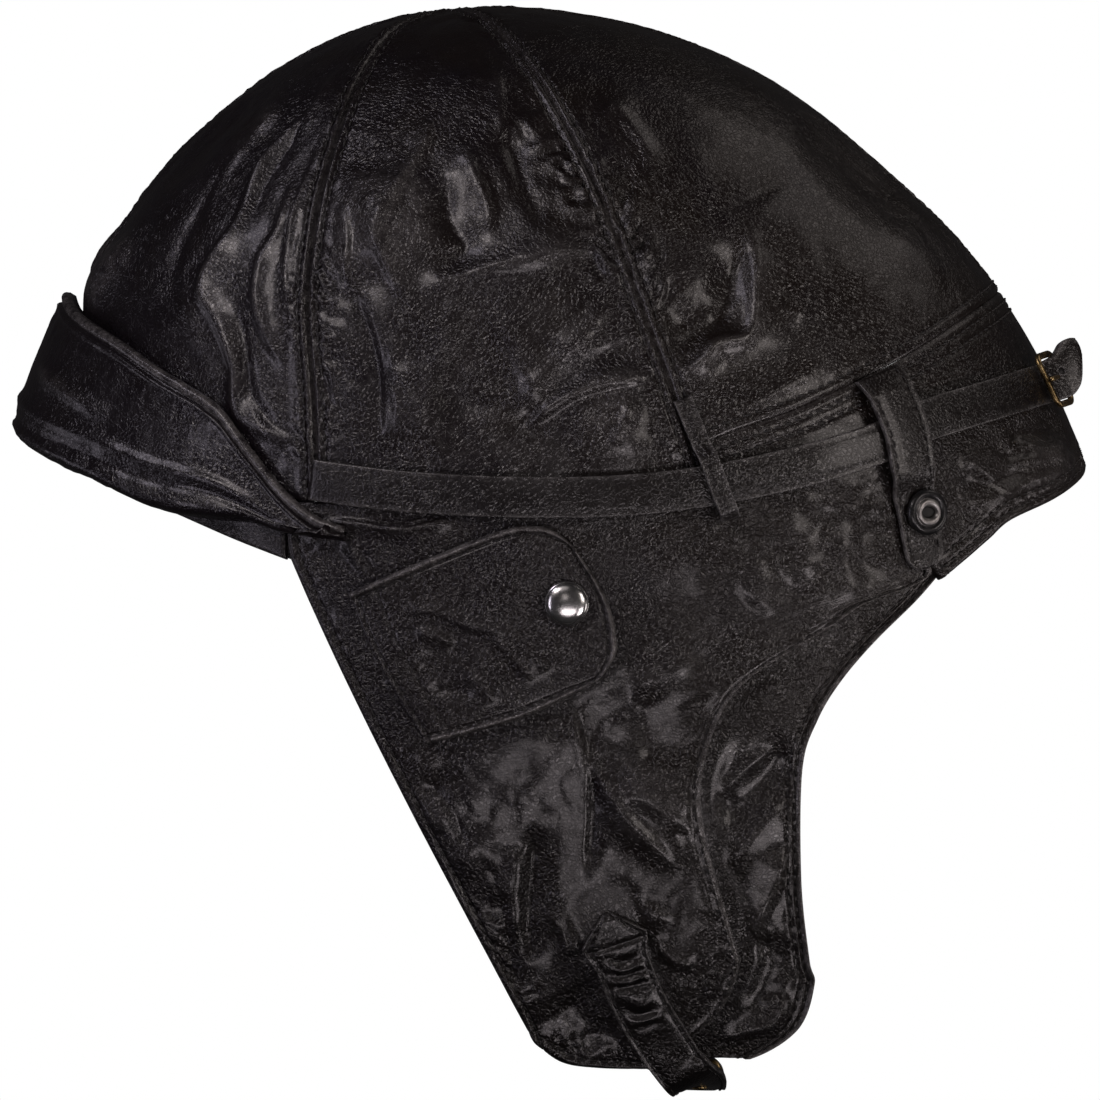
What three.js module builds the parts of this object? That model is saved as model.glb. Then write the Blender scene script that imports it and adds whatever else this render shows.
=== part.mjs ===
// Leather flying helmet: six gores, turned-up front brim, ear flaps, rear strap and chin strap.
// Millimetres, +Z up. The front of the helmet looks along -X and the wearer's left is -Y.
// The origin is the middle of the head opening at the height of the belt line.

import * as THREE from 'three';

// Main form
const CROWN_LENGTH = 228;
const CROWN_WIDTH = 160;
const CROWN_HEIGHT = 105;
const FLAP_DROP = 130;
const APEX_FORWARD = 16.4;
const FRONT_TUCK = 6;
const BACK_TUCK = 5;
const FLAP_LEAN = 24;
const FRONT_ROUNDNESS = 2.1;
const BACK_ROUNDNESS_LOW = 1.45;
const BACK_ROUNDNESS_TOP = 1.83;
const SIDE_ROUNDNESS = 2.3;
// Above this share of the height the form's normal eases to straight up
const TOP_ZONE = 0.985;

// Leather, seams and clearances
const GORE_LEATHER = 1.6;
const FLAP_LEATHER = 1.8;
const BRIM_LEATHER = 2.4;
const STRAP_LEATHER = 1.8;
const TAB_LEATHER = 1.6;
const COVER_LEATHER = 1.8;
const SEAM_GAP = 0.4;
const LAY_GAP = 0.4;
const TIP_GAP = 1.6;

// Straps, tabs and hardware
const BRIM_STANDOFF = 11.4;
const BRIM_REST_STANDOFF = 2.9;
const BRIM_TOP_STANDOFF = 2.6;
const STRAP_WIDTH = 9;
const TIP_LENGTH = 13.5;
const TIP_LIFT = 5.5;
const TIP_RAISE = 2.4;
const LOOP_WIDTH = 4.2;
const TAB_WIDTH = 10.5;
const TAB_LENGTH = 44;
const STUD_RADIUS = 5.3;
const STUD_HEIGHT = 1.8;
const STUD_SOCKET_RADIUS = 3;
const STUD_HOLE_RADIUS = 1.1;
const SNAP_RADIUS = 4.9;
const SNAP_HEIGHT = 2.6;
const BUCKLE_WIRE = 1.5;
const BUCKLE_SPAN = 10.5;
const PRONG_WIRE = 1.1;
const CHIN_STRAP_WIDTH = 12;
const CHIN_STRAP_LEATHER = 2;
const CHIN_PEAK_WIDTH = 15;
const CHIN_PEAK_LENGTH = 6;
const CHIN_SAG = 1.5;
const CHIN_BUCKLE_WIRE = 1.8;

// Folds: the widest reach of a fold to each side of its line, and the greatest rise
const FOLD_REACH = 11;
const FOLD_RISE = 3.2;

// Lines on the side of the helmet. along is the share of the crown length from the front.
// height is the share of the crown height above the belt line, or of the flap drop below it.
const line = (...rows) => rows.map(([along, height]) => ({ along, height }));
const FRONT_SEAM = line(
  [0.252, -0.034], [0.248, 0.165], [0.242, 0.38], [0.249, 0.533], [0.276, 0.763], [0.312, 0.918]);
const REAR_SEAM = line(
  [0.628, -0.024], [0.602, 0.14], [0.571, 0.332], [0.534, 0.548], [0.493, 0.74], [0.451, 0.888]);
const APEX = { along: 0.374 };
const NAPE_SEAM = line(
  [0.615, 0.063], [0.64, 0.089], [0.715, 0.148], [0.774, 0.207], [0.819, 0.258], [0.887, 0.355],
  [0.915, 0.402]);
const FRONT_FOOT = line(
  [0, 0.131], [0.042, 0.08], [0.11, 0.013], [0.179, -0.029], [0.22, -0.038], [0.252, -0.034]);
const BELT_LINE = line(
  [0.221, -0.038], [0.252, -0.034], [0.33, -0.039], [0.427, -0.043], [0.525, -0.039], [0.628, -0.024],
  [0.71, 0.013], [0.788, 0.063], [0.847, 0.106], [0.915, 0.159], [0.964, 0.195]);
const RIM = line([0, 0.047], [0.042, 0], [0.11, -0.056], [0.179, -0.108], [0.227, -0.14]);
const STRAP_LINE = line(
  [0.248, 0], [0.33, -0.019], [0.427, -0.029], [0.525, -0.029], [0.613, -0.015], [0.71, 0.023],
  [0.788, 0.072], [0.842, 0.125], [0.915, 0.173], [0.955, 0.2]);
const FLAP_FRONT = line(
  [0.221, -0.041], [0.223, -0.116], [0.234, -0.171], [0.3, -0.418], [0.383, -0.7], [0.461, -0.956]);
const FLAP_FOOT = line([0.461, -0.956], [0.488, -0.99], [0.525, -1], [0.579, -1.002]);
const TAB_SEAM = line([0.811, 0.076], [0.819, -0.034], [0.83, -0.111], [0.845, -0.162]);
const GUSSET_SEAM = line(
  [0.838, -0.13], [0.784, -0.208], [0.749, -0.249], [0.675, -0.331], [0.644, -0.399], [0.625, -0.507],
  [0.629, -0.608], [0.657, -0.783], [0.662, -0.829], [0.641, -0.911], [0.579, -1.002]);
const GUSSET_EDGE = line(
  [0.862, -0.157], [0.838, -0.205], [0.798, -0.273], [0.764, -0.341], [0.74, -0.41], [0.725, -0.495],
  [0.724, -0.683], [0.732, -0.819], [0.737, -0.862], [0.72, -0.939], [0.666, -0.992], [0.585, -1.002]);
const NECK_FOOT = line(
  [0.856, -0.171], [0.88, -0.137], [0.903, -0.102], [0.926, -0.068], [0.967, -0.034], [0.992, -0.003]);
const NECK_FOOT_BACK = 0.027;
const COVER_TOP = line(
  [0.285, -0.191], [0.367, -0.128], [0.431, -0.085], [0.461, -0.078], [0.481, -0.087], [0.499, -0.111]);
const COVER_BACK = line([0.499, -0.111], [0.531, -0.2], [0.541, -0.278], [0.534, -0.314], [0.523, -0.338]);
const COVER_FOOT = line([0.359, -0.447], [0.437, -0.41], [0.476, -0.382], [0.523, -0.338]);
const COVER_FRONT = line([0.285, -0.191], [0.304, -0.278], [0.325, -0.348], [0.359, -0.447]);
const TAB_LINE = line(
  [0.789, 0.22], [0.812, 0.106], [0.82, 0.021], [0.829, -0.055], [0.834, -0.111], [0.839, -0.15]);
const LOOP_LINE = line([0.603, 0.169], [0.619, 0.085], [0.634, 0], [0.649, -0.068]);
const CHIN_LINE = line([0.531, -0.732], [0.544, -0.802], [0.564, -0.887], [0.595, -0.973]);
const CHIN_TURN = { along: 0.62, height: -1.014 };
const SNAP_SPOT = { along: 0.493, height: -0.208 };
const STUD_SPOT = { along: 0.834, height: -0.055 };
const BUCKLE_SPOT = { turn: 0.9 };

// Sections of the turned-up brim, from the middle of the front to the end at the side.
// turn is the share of the half turn, foot and top are heights, and stand is the share of the stand-off.
const BRIM_SECTIONS = [
  { turn: 0, foot: 0.093, top: 0.385, stand: 1 },
  { turn: 0.067, foot: 0.065, top: 0.352, stand: 0.93 },
  { turn: 0.155, foot: 0.02, top: 0.292, stand: 0.7 },
  { turn: 0.212, foot: -0.02, top: 0.226, stand: 0.5 },
  { turn: 0.262, foot: -0.043, top: 0.157, stand: 0.33 },
  { turn: 0.288, foot: -0.062, top: 0.07, stand: 0.22 },
  { turn: 0.31, foot: -0.08, top: -0.008, stand: 0.12 },
  { turn: 0.333, foot: -0.09, top: -0.056, stand: 0.05 },
  { turn: 0.356, foot: -0.098, top: -0.08, stand: 0 },
];
const BRIM_UNDERCUT = 0.35;
const BRIM_END_HEIGHT = 2.6;

// Folds and bulges, each along a bent line from start over bend to end.
// reach and rise are shares of FOLD_REACH and FOLD_RISE, and a valley has a negative rise.
const fold = (piece, name, start, bend, end, reach, rise) => ({ piece, name, start, bend, end, reach, rise });
const FOLDS = [
  fold('crown', 'front upper ridge', [0.266, 0.825], [0.198, 0.666], [0.159, 0.507], 0.55, 0.7),
  fold('crown', 'front lower ridge', [0.15, 0.46], [0.172, 0.33], [0.192, 0.21], 0.45, 0.65),
  fold('crown', 'front inner ridge', [0.222, 0.603], [0.186, 0.402], [0.225, 0.2], 0.45, 0.6),
  fold('crown', 'front bulge', [0.281, 0.899], [0.203, 0.772], [0.14, 0.57], 1.3, 0.35),
  fold('crown', 'side bulge', [0.315, 0.56], [0.359, 0.465], [0.393, 0.359], 1.6, 0.75),
  fold('crown', 'side upper ridge', [0.369, 0.402], [0.427, 0.461], [0.5, 0.476], 0.6, 0.6),
  fold('crown', 'side upper valley', [0.427, 0.592], [0.452, 0.539], [0.49, 0.507], 0.6, -0.5),
  fold('crown', 'side low ridge', [0.479, 0.144], [0.52, 0.201], [0.575, 0.218], 0.65, 0.85),
  fold('crown', 'side low valley', [0.447, 0.201], [0.505, 0.264], [0.555, 0.275], 0.6, -0.45),
  fold('crown', 'side diagonal', [0.427, 0.106], [0.486, 0.233], [0.53, 0.36], 0.5, 0.35),
  fold('crown', 'rear deep ridge', [0.669, 0.545], [0.69, 0.28], [0.611, 0.228], 0.6, 0.9),
  fold('crown', 'rear deep valley', [0.65, 0.497], [0.662, 0.33], [0.595, 0.28], 0.6, -0.7),
  fold('crown', 'rear small ridge', [0.588, 0.281], [0.613, 0.317], [0.645, 0.38], 0.4, 0.3),
  fold('flap', 'lower front valley', [0.46, -0.628], [0.457, -0.717], [0.462, -0.797], 0.6, -0.5),
  fold('flap', 'middle valley', [0.517, -0.439], [0.511, -0.546], [0.513, -0.66], 0.6, -0.5),
  fold('flap', 'middle ridge', [0.521, -0.5], [0.542, -0.606], [0.583, -0.674], 0.6, 0.55),
  fold('flap', 'upper ridge', [0.56, -0.352], [0.591, -0.338], [0.621, -0.311], 0.6, 0.5),
  fold('gusset', 'gusset valley', [0.637, -0.587], [0.676, -0.538], [0.71, -0.473], 0.55, -0.6),
  fold('gusset', 'gusset ridge', [0.668, -0.797], [0.687, -0.729], [0.702, -0.621], 0.5, 0.5),
  fold('flap', 'neck front valley', [0.72, -0.06], [0.726, -0.119], [0.72, -0.196], 0.55, -0.5),
  fold('flap', 'neck rear valley', [0.764, -0.05], [0.769, -0.102], [0.764, -0.171], 0.5, -0.5),
  fold('neck', 'nape crumple', [0.9, 0.06], [0.93, 0.0], [0.94, -0.04], 0.6, 0.6),
  fold('neck', 'nape hollow', [0.93, 0.1], [0.96, 0.12], [0.99, 0.13], 0.4, -0.55),
  fold('neck', 'nape flare', [0.93, 0.02], [0.97, 0.045], [1.0, 0.06], 0.5, 0.5),
];

// Colours read from the photograph
const leather = () => new THREE.MeshStandardMaterial({ color: 0x17130f, roughness: 0.38, metalness: 0 });
const nickel = () => new THREE.MeshStandardMaterial({ color: 0xb9bcc0, roughness: 0.25, metalness: 1 });
const oldBrass = () => new THREE.MeshStandardMaterial({ color: 0x8a744c, roughness: 0.4, metalness: 1 });
const blackMetal = () => new THREE.MeshStandardMaterial({ color: 0x1c1c1e, roughness: 0.35, metalness: 0.8 });

// Small helpers
const mix = (from, to, share) => from + (to - from) * share;
const smooth = (share) => {
  const inside = THREE.MathUtils.clamp(share, 0, 1);
  return inside * inside * (3 - 2 * inside);
};
const lengthAt = (along) => (along - 0.5) * CROWN_LENGTH;
const heightAt = (height) => height * (height < 0 ? FLAP_DROP : CROWN_HEIGHT);

// The head form: at each height an ellipse with its own middle, half length and half width
function sliceAt(z) {
  const halfLength = CROWN_LENGTH / 2;
  if (z < 0) {
    const drop = (z / FLAP_DROP) ** 2;
    const front = -halfLength + FRONT_TUCK * drop;
    const back = halfLength - BACK_TUCK * drop;
    const halfWidth = CROWN_WIDTH / 2 - FLAP_LEAN * Math.min(drop, 1.5);
    return { middle: (front + back) / 2, reach: (back - front) / 2, halfWidth };
  }
  const rise = Math.min(z / CROWN_HEIGHT, 0.99999);
  const rounded = (power) => (1 - rise ** power) ** (1 / power);
  const backPower = mix(BACK_ROUNDNESS_LOW, BACK_ROUNDNESS_TOP, rise);
  const front = -APEX_FORWARD - (halfLength - APEX_FORWARD) * rounded(FRONT_ROUNDNESS);
  const back = -APEX_FORWARD + (halfLength + APEX_FORWARD) * rounded(backPower);
  const halfWidth = (CROWN_WIDTH / 2) * rounded(SIDE_ROUNDNESS);
  return { middle: (front + back) / 2, reach: (back - front) / 2, halfWidth };
}

function outsideness(x, y, z) {
  if (z >= CROWN_HEIGHT) return 1;
  const { middle, reach, halfWidth } = sliceAt(z);
  return ((x - middle) / reach) ** 2 + (y / halfWidth) ** 2 - 1;
}

function normalAt(point) {
  const { middle, reach, halfWidth } = sliceAt(point.z);
  const step = Math.min(0.05, (CROWN_HEIGHT - point.z) / 2);
  const climb = outsideness(point.x, point.y, point.z + step) - outsideness(point.x, point.y, point.z - step);
  const slope = new THREE.Vector3(
    (2 * (point.x - middle)) / reach ** 2, (2 * point.y) / halfWidth ** 2, climb / (2 * step)).normalize();
  const nearTop = smooth((point.z / CROWN_HEIGHT - TOP_ZONE) / (1 - TOP_ZONE));
  return slope.lerp(new THREE.Vector3(0, 0, 1), nearTop).normalize();
}

function lift(point, offset) {
  return point.clone().addScaledVector(normalAt(point), offset);
}

// A turn of 0 faces forward, half a turn faces back, and the left side lies between them
function onForm(turn, z, offset = 0) {
  const { middle, reach, halfWidth } = sliceAt(z);
  const point = new THREE.Vector3(middle - reach * Math.cos(turn), -halfWidth * Math.sin(turn), z);
  return offset ? lift(point, offset) : point;
}

function turnOf(x, z) {
  const { middle, reach } = sliceAt(z);
  return Math.acos(THREE.MathUtils.clamp((middle - x) / reach, -1, 1));
}

function snapToForm(point, offset) {
  const { middle, reach, halfWidth } = sliceAt(point.z);
  return onForm(Math.atan2(-point.y / halfWidth, (middle - point.x) / reach), point.z, offset);
}

// Where a ray from the origin leaves the form
function alongRay(direction) {
  let near = 0;
  let far = CROWN_LENGTH;
  for (let halving = 0; halving < 44; halving += 1) {
    const middle = (near + far) / 2;
    const hit = direction.clone().multiplyScalar(middle);
    if (outsideness(hit.x, hit.y, hit.z) > 0) far = middle;
    else near = middle;
  }
  return direction.clone().multiplyScalar(near);
}

// Curves through the tables' rows, as points whose x is the turn and whose y is the height
function chartPoint({ along, height }) {
  const z = heightAt(height);
  return new THREE.Vector2(turnOf(lengthAt(along), z), z);
}
function chartCurve(rows, extra = []) {
  return new THREE.SplineCurve([...rows.map(chartPoint), ...extra]);
}
function directionCurve(rows, last) {
  const points = rows.map(chartPoint).map((spot) => onForm(spot.x, spot.y).normalize());
  return new THREE.CatmullRomCurve3(last ? [...points, last] : points, false, 'centripetal');
}
function heightOnCurve(curve, turn) {
  let near = 0;
  let far = 1;
  for (let halving = 0; halving < 30; halving += 1) {
    const middle = (near + far) / 2;
    if (curve.getPoint(middle).x < turn) near = middle;
    else far = middle;
  }
  return curve.getPoint((near + far) / 2).y;
}

// Folds: how far a point of the form stands out, from its place seen from the side
function foldLines(piece) {
  return FOLDS.filter((row) => row.piece === piece).map((row) => {
    const [start, bend, end] = [row.start, row.bend, row.end].map(
      ([along, height]) => new THREE.Vector2(lengthAt(along), heightAt(height)));
    const control = bend.clone().multiplyScalar(2).sub(start.clone().add(end).multiplyScalar(0.5));
    const points = new THREE.QuadraticBezierCurve(start, control, end).getPoints(16);
    return { points, reach: row.reach * FOLD_REACH, rise: row.rise * FOLD_RISE };
  });
}
const FOLD_LINES = { crown: foldLines('crown'), flap: foldLines('flap') };
FOLD_LINES.gusset = foldLines('gusset');
FOLD_LINES.neck = foldLines('neck');

function foldRise(piece, point) {
  let total = 0;
  for (const { points, reach, rise } of FOLD_LINES[piece] ?? []) {
    let nearest = Infinity;
    let share = 0;
    points.forEach((spot, index) => {
      const distance = Math.hypot(point.x - spot.x, point.z - spot.y);
      if (distance < nearest) {
        nearest = distance;
        share = index / (points.length - 1);
      }
    });
    if (nearest < reach) {
      const across = (1 - (nearest / reach) ** 2) ** 2;
      total += rise * across * (0.45 + 0.55 * Math.sin(Math.PI * share));
    }
  }
  return total;
}

// A closed wall between an outer and an inner grid of points
function wallGeometry(columns, rows, outer, inner) {
  const positions = [];
  for (const side of [outer, inner]) {
    for (let row = 0; row <= rows; row += 1) {
      for (let column = 0; column <= columns; column += 1) {
        const point = side(column / columns, row / rows);
        positions.push(point.x, point.y, point.z);
      }
    }
  }
  const stride = columns + 1;
  const layer = stride * (rows + 1);
  const faces = [];
  const quad = (a, b, c, d) => faces.push(a, b, c, a, c, d);
  for (let row = 0; row < rows; row += 1) {
    for (let column = 0; column < columns; column += 1) {
      const corner = row * stride + column;
      quad(corner, corner + 1, corner + stride + 1, corner + stride);
      quad(layer + corner, layer + corner + stride, layer + corner + stride + 1, layer + corner + 1);
    }
  }
  const border = [];
  for (let column = 0; column < columns; column += 1) border.push(column);
  for (let row = 0; row < rows; row += 1) border.push(row * stride + columns);
  for (let column = columns; column > 0; column -= 1) border.push(rows * stride + column);
  for (let row = rows; row > 0; row -= 1) border.push(row * stride);
  border.forEach((start, index) => {
    const next = border[(index + 1) % border.length];
    quad(start, start + layer, next + layer, next);
  });
  return outwardGeometry(positions, faces);
}

function signedVolume(positions, faces) {
  const corner = (index) => new THREE.Vector3().fromArray(positions, index * 3);
  let volume = 0;
  for (let index = 0; index < faces.length; index += 3) {
    const [a, b, c] = [corner(faces[index]), corner(faces[index + 1]), corner(faces[index + 2])];
    volume += a.dot(b.cross(c)) / 6;
  }
  return volume;
}

function outwardGeometry(positions, faces) {
  const ordered = [...faces];
  if (signedVolume(positions, faces) < 0) ordered.reverse();
  const geometry = new THREE.BufferGeometry();
  geometry.setAttribute('position', new THREE.Float32BufferAttribute(positions, 3));
  geometry.setIndex(ordered);
  geometry.computeVertexNormals();
  return geometry;
}

const helmet = new THREE.Group();

function addPiece(name, geometry, material) {
  const mesh = new THREE.Mesh(geometry, material);
  mesh.name = name;
  helmet.add(mesh);
  return mesh;
}

// The two sides: the left one as seen from the side, the right one its mirror image
const SIDES = [
  { side: 'left', mirror: (point) => point },
  { side: 'right', mirror: (point) => new THREE.Vector3(point.x, -point.y, point.z) },
];

function addWall(name, columns, rows, outer, inner, mirror, material = leather()) {
  const outerSide = (u, v) => mirror(outer(u, v));
  const innerSide = (u, v) => mirror(inner(u, v));
  return addPiece(name, wallGeometry(columns, rows, outerSide, innerSide), material);
}

// Crown: gores between meridians that all meet at the apex
const apexPoint = onForm(0, 0).set(lengthAt(APEX.along), 0, 0);
apexPoint.z = topHeight(apexPoint.x);
const apexDirection = apexPoint.clone().normalize();

function topHeight(x) {
  let near = 0;
  let far = CROWN_HEIGHT;
  for (let halving = 0; halving < 44; halving += 1) {
    const middle = (near + far) / 2;
    if (outsideness(x, 0, middle) > 0) far = middle;
    else near = middle;
  }
  return near;
}

// A meridian in the plane of symmetry, from its foot to the apex
function centreMeridian(foot) {
  const start = Math.atan2(foot.z, -foot.x);
  const end = Math.atan2(apexDirection.z, -apexDirection.x);
  const points = [];
  for (let step = 0; step <= 8; step += 1) {
    const angle = mix(start, end, step / 8);
    points.push(new THREE.Vector3(-Math.cos(angle), 0, Math.sin(angle)));
  }
  return new THREE.CatmullRomCurve3(points, false, 'centripetal');
}

const frontFootCurve = directionCurve(FRONT_FOOT);
const beltCurve = chartCurve(BELT_LINE, [new THREE.Vector2(Math.PI, heightAt(0.2))]);
const napeCurve = directionCurve(NAPE_SEAM);
const frontMeridian = centreMeridian(onForm(0, heightAt(FRONT_FOOT[0].height)));
const rearMeridian = centreMeridian(onForm(Math.PI, heightAt(NAPE_SEAM.at(-1).height)));
const frontSeam = directionCurve(FRONT_SEAM, apexDirection);
const rearSeam = directionCurve(REAR_SEAM, apexDirection);
const rearSeamUpper = directionCurve([NAPE_SEAM[0], ...REAR_SEAM.slice(1)], apexDirection);
const sideFootCurve = directionCurve(BELT_LINE.slice(1, 6));

function goreSurface(first, second, foot) {
  const tipShare = TIP_GAP / CROWN_HEIGHT;
  const corner = (share) => first.getPointAt(0).lerp(second.getPointAt(0), share);
  return (across, up, offset) => {
    const climb = up * (1 - tipShare);
    const left = first.getPointAt(climb).normalize();
    const right = second.getPointAt(climb).normalize();
    const width = alongRay(left).distanceTo(alongRay(right));
    const inset = Math.min(SEAM_GAP / 2 / width, 0.35);
    const share = mix(inset, 1 - inset, across);
    const bow = foot.getPointAt(share).sub(corner(share)).multiplyScalar((1 - climb) ** 2);
    const direction = left.lerp(right, share).add(bow).normalize();
    const point = alongRay(direction);
    const fade = smooth(Math.min(share, 1 - share) / 0.1) * smooth(up / 0.12) * smooth((1 - up) / 0.1);
    return lift(point, offset + foldRise('crown', point) * fade);
  };
}

const GORES = [
  { name: 'crown_front', first: frontMeridian, second: frontSeam, foot: frontFootCurve },
  { name: 'crown_side', first: frontSeam, second: rearSeam, foot: sideFootCurve },
  { name: 'crown_rear', first: rearSeamUpper, second: rearMeridian, foot: napeCurve },
];
for (const { side, mirror } of SIDES) {
  for (const gore of GORES) {
    const surface = goreSurface(gore.first, gore.second, gore.foot);
    const outer = (u, v) => surface(u, v, 0);
    const inner = (u, v) => surface(u, v, -GORE_LEATHER);
    addWall(`${gore.name}_${side}`, 10, 15, outer, inner, mirror);
  }
}

// Panels below the crown: four edges in the chart of turn and height, blended across
function panelSurface(top, foot, first, second, piece, depth = 0) {
  const raw = (u, v) => {
    const onTop = top(u);
    const onFoot = foot(u);
    const onFirst = first(v);
    const onSecond = second(v);
    const corners = new THREE.Vector2()
      .addScaledVector(top(0), (1 - u) * (1 - v)).addScaledVector(top(1), u * (1 - v))
      .addScaledVector(foot(0), (1 - u) * v).addScaledVector(foot(1), u * v);
    return new THREE.Vector2()
      .addScaledVector(onTop, 1 - v).addScaledVector(onFoot, v)
      .addScaledVector(onFirst, 1 - u).addScaledVector(onSecond, u).sub(corners);
  };
  const place = (spot) => onForm(spot.x, spot.y);
  const span = (from, to) => Math.max(place(from).distanceTo(place(to)), SEAM_GAP);
  return (u, v, offset) => {
    const insetU = Math.min(SEAM_GAP / 2 / span(raw(0, v), raw(1, v)), 0.35);
    const insetV = Math.min(SEAM_GAP / 2 / span(raw(u, 0), raw(u, 1)), 0.35);
    const spot = raw(mix(insetU, 1 - insetU, u), mix(insetV, 1 - insetV, v));
    const point = place(spot);
    const fade = smooth(Math.min(u, 1 - u) / 0.12) * smooth(v / 0.1) * smooth((1 - v) / 0.1);
    return lift(point, offset - depth + foldRise(piece, point) * fade);
  };
}

const beltTurns = (from, to) => (u) => {
  const turn = mix(from, to, u);
  return new THREE.Vector2(turn, heightOnCurve(beltCurve, turn));
};
const alongCurve = (curve) => (u) => curve.getPointAt(u);
const straight = (from, to) => (u) => from.clone().lerp(to, u);
const joined = (...rows) => chartCurve(rows.flat());

// Ear flaps, with the lapped gusset behind each of them
const flapFrontTop = chartPoint(FLAP_FRONT[0]);
const tabSeamTop = chartPoint(TAB_SEAM[0]);
const flapFrontCurve = chartCurve(FLAP_FRONT);
const flapFootCurve = chartCurve(FLAP_FOOT);
const flapBackCurve = joined(TAB_SEAM, GUSSET_SEAM.slice(1));
const flap = panelSurface(
  beltTurns(flapFrontTop.x, tabSeamTop.x), alongCurve(flapFootCurve),
  alongCurve(flapFrontCurve), alongCurve(flapBackCurve), 'flap');
const gussetSeamCurve = chartCurve(GUSSET_SEAM);
const gussetEdgeCurve = chartCurve(GUSSET_EDGE);
const GUSSET_SHARE = 0.985;
const GUSSET_LAP = 0.18;
const gussetOuter = (v) => gussetEdgeCurve.getPointAt(mix(0, GUSSET_SHARE, v));
const gussetInner = (v) => {
  const seam = gussetSeamCurve.getPointAt(mix(0.005, GUSSET_SHARE, v));
  return gussetOuter(v).lerp(seam, 1 + GUSSET_LAP);
};
const gusset = panelSurface(
  straight(gussetInner(0), gussetOuter(0)), straight(gussetInner(1), gussetOuter(1)),
  gussetInner, gussetOuter, 'gusset', FLAP_LEATHER + LAY_GAP);
for (const { side, mirror } of SIDES) {
  addWall(`ear_flap_${side}`, 12, 17, (u, v) => flap(u, v, 0), (u, v) => flap(u, v, -FLAP_LEATHER), mirror);
  addWall(
    `cheek_gusset_${side}`, 3, 16, (u, v) => gusset(u, v, 0), (u, v) => gusset(u, v, -GORE_LEATHER), mirror);
}

// Nape yoke above the rear strap and neck flap below it, each whole round the back
const napeTop = new THREE.Vector2(Math.PI, heightAt(NAPE_SEAM.at(-1).height));
const napeChart = chartCurve(NAPE_SEAM.slice(0, -1), [napeTop]);
const neckFootCurve = chartCurve(NECK_FOOT, [new THREE.Vector2(Math.PI, heightAt(NECK_FOOT_BACK))]);
const acrossBack = (curve, from) => (u) => {
  const share = Math.abs(2 * u - 1);
  const turn = mix(Math.PI, from, share);
  const height = heightOnCurve(curve, turn);
  return new THREE.Vector2(u < 0.5 ? turn : 2 * Math.PI - turn, height);
};
const mirrored = (edge) => (v) => new THREE.Vector2(2 * Math.PI - edge(v).x, edge(v).y);
const yokeStartTop = chartPoint(NAPE_SEAM[0]);
const yokeStartFoot = chartPoint(REAR_SEAM[0]);
const yokeSide = straight(yokeStartTop, yokeStartFoot);
const yoke = panelSurface(
  acrossBack(napeChart, yokeStartTop.x), acrossBack(beltCurve, yokeStartFoot.x),
  yokeSide, mirrored(yokeSide), 'yoke');
const neckSide = alongCurve(joined(TAB_SEAM.slice(0, -1), NECK_FOOT.slice(0, 1)));
const neckFootStart = chartPoint(NECK_FOOT[0]);
const neck = panelSurface(
  acrossBack(beltCurve, tabSeamTop.x), acrossBack(neckFootCurve, neckFootStart.x),
  neckSide, mirrored(neckSide), 'neck');
const asItIs = (point) => point;
addWall('nape_yoke', 28, 3, (u, v) => yoke(u, v, 0), (u, v) => yoke(u, v, -GORE_LEATHER), asItIs);
addWall('neck_flap', 18, 5, (u, v) => neck(u, v, 0), (u, v) => neck(u, v, -FLAP_LEATHER), asItIs);

// Forehead band: the dark strip under the front gores, down to the rim
const rimCurve = chartCurve(RIM);
const footCurve = chartCurve(FRONT_FOOT);
const bandEnd = chartPoint(FLAP_FRONT[0]).x - (SEAM_GAP * 2) / CROWN_LENGTH;
const acrossFront = (curve, end) => (u) => {
  const turn = Math.abs(2 * u - 1) * end;
  return new THREE.Vector2(u < 0.5 ? -turn : turn, heightOnCurve(curve, turn));
};
const bandFoot = acrossFront(rimCurve, bandEnd);
const bandTop = acrossFront(footCurve, bandEnd);
const band = panelSurface(
  bandTop, bandFoot, straight(bandTop(0), bandFoot(0)), straight(bandTop(1), bandFoot(1)), 'band');
addWall('forehead_band', 22, 2, (u, v) => band(u, v, 0), (u, v) => band(u, v, -GORE_LEATHER), asItIs);

// Turned-up brim: sewn at the rim, out to its fold and back up against the front gores
function brimSection(share) {
  const place = Math.min(Math.max(share, 0), 1) * BRIM_SECTIONS.at(-1).turn;
  const index = Math.max(1, BRIM_SECTIONS.findIndex((row) => row.turn >= place - 1e-9));
  const rows = [index - 2, index - 1, index, index + 1].map(
    (at) => BRIM_SECTIONS[THREE.MathUtils.clamp(at, 0, BRIM_SECTIONS.length - 1)]);
  const step = (place - rows[1].turn) / (rows[2].turn - rows[1].turn);
  const value = (read) => {
    const [before, from, to, after] = rows.map(read);
    const slopeFrom = index === 1 ? 0 : (to - before) / 2;
    const slopeTo = (after - from) / 2;
    const square = step * step;
    const cube = square * step;
    return (2 * cube - 3 * square + 1) * from + (cube - 2 * square + step) * slopeFrom
      + (3 * square - 2 * cube) * to + (cube - square) * slopeTo;
  };
  return {
    turn: place * Math.PI,
    foot: value((row) => heightAt(row.foot)),
    top: value((row) => heightAt(row.top)),
    stand: mix(BRIM_REST_STANDOFF, BRIM_STANDOFF, value((row) => row.stand)),
    topStand: LAY_GAP + BRIM_LEATHER + BRIM_TOP_STANDOFF * Math.max(value((row) => row.stand), 0) ** 2,
  };
}
const BRIM_ROWS = [0, 0.2, 0.3, 0.38, 0.46, 0.6, 0.8, 1];
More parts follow.
